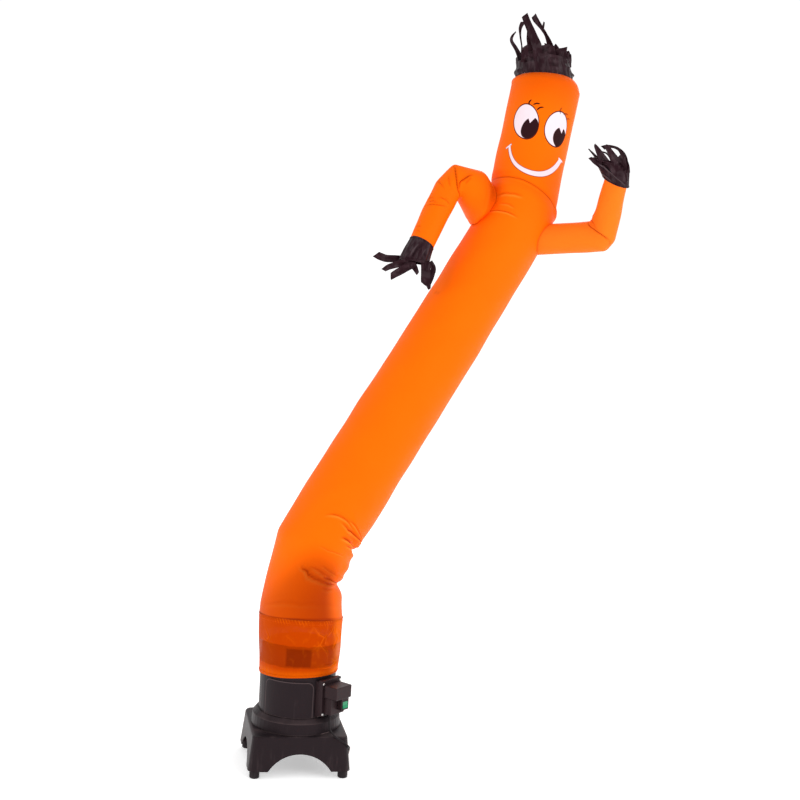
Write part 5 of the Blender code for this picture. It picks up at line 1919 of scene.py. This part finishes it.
@dataclass
class Fringe:
    """Cut strips of cloth that grow from the upper edge of a ring."""

    name: str
    strips: Sequence[Strip]
    wide: float
    deep: float
    centre: Vector
    axes: tuple[Vector, Vector, Vector]
    cloth: float = 0.0007
    steps: int = 9
    across: int = 10
    collar_steps: int = 72
    rise: float = 0.010
    facing: Triple = (0.18, 0.98, -0.13)

    def path(self, strip: Strip) -> list[tuple[Vector, float]]:
        """Places along a strip's middle, and the width at each."""
        spots = catmull([Vector(place[:3]) for place in strip.places], self.steps)
        marks = [step / self.steps for step in range(len(spots))]
        widths = np.interp(marks, range(len(strip.places)), [place[3] for place in strip.places])
        return [(self.centre + spot, float(width)) for spot, width in zip(spots, widths)]

    def ribbon(self, strip: Strip, number: int) -> list[list[Vector]]:
        """One strip, creased lengthwise, rumpled and cut slantwise at its tip.

        Args:
            strip: its shape.
            number: its place in the table, which varies its rumples.

        Returns:
            Rings of places round the strip, from its foot to its tip.
        """
        path = self.path(strip)
        count = len(path) - 1
        rows = []
        for step, (here, width) in enumerate(path):
            share = step / count
            way = (path[min(step + 1, count)][0] - path[max(step - 1, 0)][0]).normalized()
            across = way.cross(Vector(self.facing)).normalized()
            turn = math.radians(strip.turn) * math.sin(math.pi * (share + 0.13 * number))
            across = Matrix.Rotation(turn, 3, way) @ across
            face = way.cross(across).normalized()
            fold = strip.fold * (0.6 + 0.4 * math.sin(4.3 * share + 1.7 * number))
            rumple = 0.0016 * math.sin(11.0 * share + 2.1 * number) * min(1.0, 3 * share)
            skew = strip.cut * (-1) ** number * share ** 6
            row = []
            for layer in (1, -1):
                for place in range(self.across + 1):
                    side = (place / self.across * 2 - 1) * layer
                    crease = abs(side - 0.16 * math.sin(2.0 * share + number))
                    wave = 0.0012 * math.sin(3.1 * side + 7.0 * share + number)
                    row.append(here + across * side * width / 2 + way * side * skew * width
                               + face * (fold * (crease - 0.5) * width / 2 + rumple + wave
                                         + layer * self.cloth / 2))
            rows.append(row)
        return rows

    def collar(self) -> list[list[Vector]]:
        """Rings of places round the narrow band that carries the strips."""
        along, right, back = self.axes
        rows = []
        for inset, lift in ((0.0, -0.002), (0.0, self.rise), (0.0012, self.rise),
                            (0.0012, -0.002)):
            row = []
            for step, (side, deep) in enumerate(round_spots(self.collar_steps)):
                gather = 0.0006 * math.sin(19 * (TURN * step / self.collar_steps)) - inset
                row.append(self.centre + along * lift + right * (self.wide + gather) * side
                           + back * (self.deep + gather) * deep)
            rows.append(row)
        return rows

    def build(self, material: Material) -> Piece:
        """The ring and its strips as one piece."""
        ribbons = [(self.ribbon(strip, number), False)
                   for number, strip in enumerate(self.strips)]
        return shell(self.name, material, [(self.collar(), True), *ribbons])


def gathered(tube: Tube, along: Array, pleats: int,
             depth: float) -> tuple[Array, Array]:
    """Points of a tube drawn into pleats that deepen towards its end.

    Args:
        tube: the tube.
        along: distances along it, in rows.
        pleats: how many go round.
        depth: of the deepest.

    Returns:
        The points, and the painted shade between pleats.
    """
    spots, creased = tube.surface(along)
    share = along / tube.length
    wander = 0.9 * np.sin(3 * tube.angles + 0.7) + 0.5 * np.sin(5 * tube.angles + 2.0)
    sharp = power_wave(np.sin(pleats * tube.angles + wander + 1.3 * share), 0.7)
    moved = spots + outward(spots) * (sharp * depth * (0.25 + 0.75 * share))[..., None]
    # Painted shade between the pleats.
    pleated = np.clip(-sharp, 0, 1) * share * 0.5
    return moved, np.where(np.abs(creased) > 0.05, creased, pleated)


@dataclass
class Hand:
    """A gathered black cuff and the finger strips on its edge."""

    side: Side
    knots: Sequence[Knot]
    strips: Sequence[Strip]
    creases: Sequence[Crease]
    pleats: int = 15
    depth: float = 0.0022
    columns: int = 144
    pitch: float = 0.0025
    seam_thick: float = 0.0016
    strip_lift: float = 0.0006

    def build(self, figure: Figure) -> Piece:
        """The cuff, its stitched wrist and its fingers.

        Args:
            figure: the finishes and stitching.

        Returns:
            The cuff's cloth.
        """
        tube = Tube(self.knots, (), self.creases, columns=self.columns, soft=0.006)
        along = tube.rows(self.pitch)
        spots, shade = gathered(tube, along, self.pleats, self.depth)
        side = self.side.value
        made = cloth_piece(side + "_cuff_cloth", figure.black, spots, along, shade, tube.radius)
        edge = self.knots[-1]
        fringe = Fringe(side + "_finger_strips", self.strips, edge.wide, edge.deep,
                        edge.place() + tube.axes[0] * self.strip_lift, tube.axes)
        fingers = fringe.build(figure.black)
        out = outward(spots[1])
        roll = cloth_band(side + "_wrist_seam", figure.black, spots[0] + out * 0.0001,
                          spots[2] + out * 0.0001, out, self.seam_thick)
        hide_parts(side + "_cuff")
        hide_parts(side + "_fingers")
        settle("black_cloth", made, fingers, roll)
        return made


@dataclass
class Hair:
    """Black band sewn round the crown, gathered, with strips along its upper edge."""

    body: Body
    seat: float = 0.0415
    height: float = 0.066
    clearance: float = 0.0017
    radius: float = 0.1085
    columns: int = 216
    rows: int = 28
    pleats: int = 23
    pleat_depth: float = 0.0014
    slack_depth: float = 0.0022
    strip_lift: float = 0.0006
    bulges: tuple[tuple[float, float, float, float, float], ...] = (
        (188.0, 26.0, 0.22, 0.20, 0.0110), (-16.0, 8.0, 0.34, 0.10, 0.0100),
        (-44.0, 12.0, 0.62, 0.13, 0.0050), (-80.0, 14.0, 0.45, 0.12, 0.0035),
        (-128.0, 16.0, 0.66, 0.14, 0.0050), (60.0, 20.0, 0.4, 0.2, 0.0060))

    def rings(self) -> tuple[Array, Array, Array]:
        """Points of the band in rows, distances along it, and the painted shade between its
        pleats.
        """
        angles = TURN * np.arange(self.columns) / self.columns
        foot = self.body.crown_radius(self.seat) + self.clearance
        top = self.seat + self.height
        levels = np.linspace(self.seat, top, self.rows)
        given = (self.seat, self.seat + 0.015, top - 0.020, top)
        rows, lengths, shades = [], [], []
        for level in levels:
            share = (level - self.seat) / self.height
            radius = float(np.interp(level, given,
                                     (foot, foot - 0.002, self.radius, self.radius)))
            wander = 1.1 * np.sin(3 * angles + 0.5) + 0.6 * np.sin(7 * angles)
            pleat = power_wave(np.sin(self.pleats * angles + wander), 0.6)
            slack = 0.5 + 0.5 * np.sin(4 * angles + 2.0 * share * math.pi + 0.6)
            ring_radius = (radius + pleat * self.pleat_depth * (0.35 + 0.65 * abs(2 * share - 1))
                           + self.slack_depth * slack * math.sin(math.pi * share))
            for turn, spread, middle, reach, out in self.bulges:
                away = degrees_between(angles, turn) / spread
                ring_radius += out * np.exp(-away ** 2 - ((share - middle) / reach) ** 2)
            rows.append(self.body.head_ring(level, ring_radius, angles))
            lengths.append(np.full(self.columns, level - self.seat))
            # Painted shade between the pleats.
            shades.append(np.clip(-pleat, 0, 1) * 0.4)
        return np.array(rows), np.array(lengths), np.array(shades)

    def build(self, figure: Figure) -> Piece:
        """The band, its stitching and its strips.

        Args:
            figure: the finishes and stitching.

        Returns:
            The band's cloth.
        """
        made = cloth_piece("hair_band_cloth", figure.black, *self.rings(), self.radius)
        top = self.seat + self.height
        fringe = Fringe("hair_fringe", HAIR_STRIPS, self.radius, self.radius,
                        self.body.head_place(top + self.strip_lift), self.body.head_axes(top))
        strips = fringe.build(figure.black)
        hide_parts("hair_band")
        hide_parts("hair_strips")
        settle("black_cloth", made, strips)
        return made


# ---- blower ----

@dataclass
class Blower:
    """Finishes of the moulded blower and its control box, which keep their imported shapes."""

    moulded: Moulding = HighlightedMoulding("black_moulding", (0.0105, 0.0072, 0.0088),
                                     (0.150, 0.105, 0.105))
    boxed: Moulding = Moulding("box_moulding", (0.020, 0.011, 0.0125), (0.15, 0.100, 0.105), 0.36)
    feet: Moulding = Moulding("foot_rubber", (0.014, 0.012, 0.013), (0.12, 0.10, 0.10), 0.62)
    key: Moulding = Moulding("green_key", (0.003, 0.24, 0.10), (0.05, 0.42, 0.22), 0.26,
                             2000.0, 0.00002, 0.10, 0.5, (1.0, 1.0, 1.0))
    screws: Metal = Metal("screw_steel", (0.75, 0.74, 0.72))
    contacts: Metal = Metal("plug_brass", (0.70, 0.52, 0.22))

    def build(self) -> None:
        """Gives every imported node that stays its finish."""
        for finish, nodes in (
                (self.moulded, ("blower_base", "foot_ring", "blower_housing", "outlet_collar",
                                "front_panel", "inlet_guard")),
                (self.boxed, ("box_plate", "box_back", "box_body", "box_cover", "switch_block")),
                (self.feet, ("foot_front_left", "foot_front_right", "foot_back_left",
                             "foot_back_right")),
                (self.key, ("rocker",)),
                (self.screws, ("box_screw_1", "box_screw_2", "box_screw_3", "box_screw_4")),
                (self.contacts, ("plug_blade_1", "plug_blade_2", "plug_pin"))):
            material = finish.make()
            for node in nodes:
                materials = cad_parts[node].data.materials
                materials.clear()
                materials.append(material)
            LOG.info("%s: %d packed nodes", finish.name, len(nodes))


def body_tree(body: Body) -> BVHTree:
    """Search tree of the body's faces, measured from the blower's axis."""
    spots, _, _ = body.grid()
    return BVHTree.FromPolygons([tuple(spot) for spot in spots.reshape(-1, 3)],
                                wrapped_faces(*spots.shape[:2]))


def main() -> None:
    """Builds the studio, then the pieces in order."""
    logging.basicConfig(level=logging.INFO, format="%(name)s: %(message)s")
    Studio().build()
    MainsLead().build()
    Blower().build()
    figure = Figure(PRINTED.make(), SHEER.make(), BLACK.make(), THREAD.make(), Stitcher())
    body = Body()
    made = [body.build(figure), Sleeve().build(figure)]
    tree = body_tree(body)
    made += [
        Arm(Side.LEFT, LEFT_ARM_KNOTS, Fold(2, 180.0, 70.0, 0.003), LEFT_ARM_CREASES,
            ORANGE, -12.0, 0.80).build(figure, tree),
        Arm(Side.RIGHT, RIGHT_ARM_KNOTS, Fold(2, 140.0, 55.0, 0.004), RIGHT_ARM_CREASES,
            LIT_ORANGE).build(figure, tree),
        Hand(Side.LEFT, LEFT_CUFF_KNOTS, LEFT_FINGERS, LEFT_CUFF_CREASES).build(figure),
        Hand(Side.RIGHT, RIGHT_CUFF_KNOTS, RIGHT_FINGERS, RIGHT_CUFF_CREASES).build(figure),
        Hair(body).build(figure)]
    for item in made:
        LOG.info("%s: %d points", item.name, len(item.data.vertices))


if __name__ == "__main__":
    main()
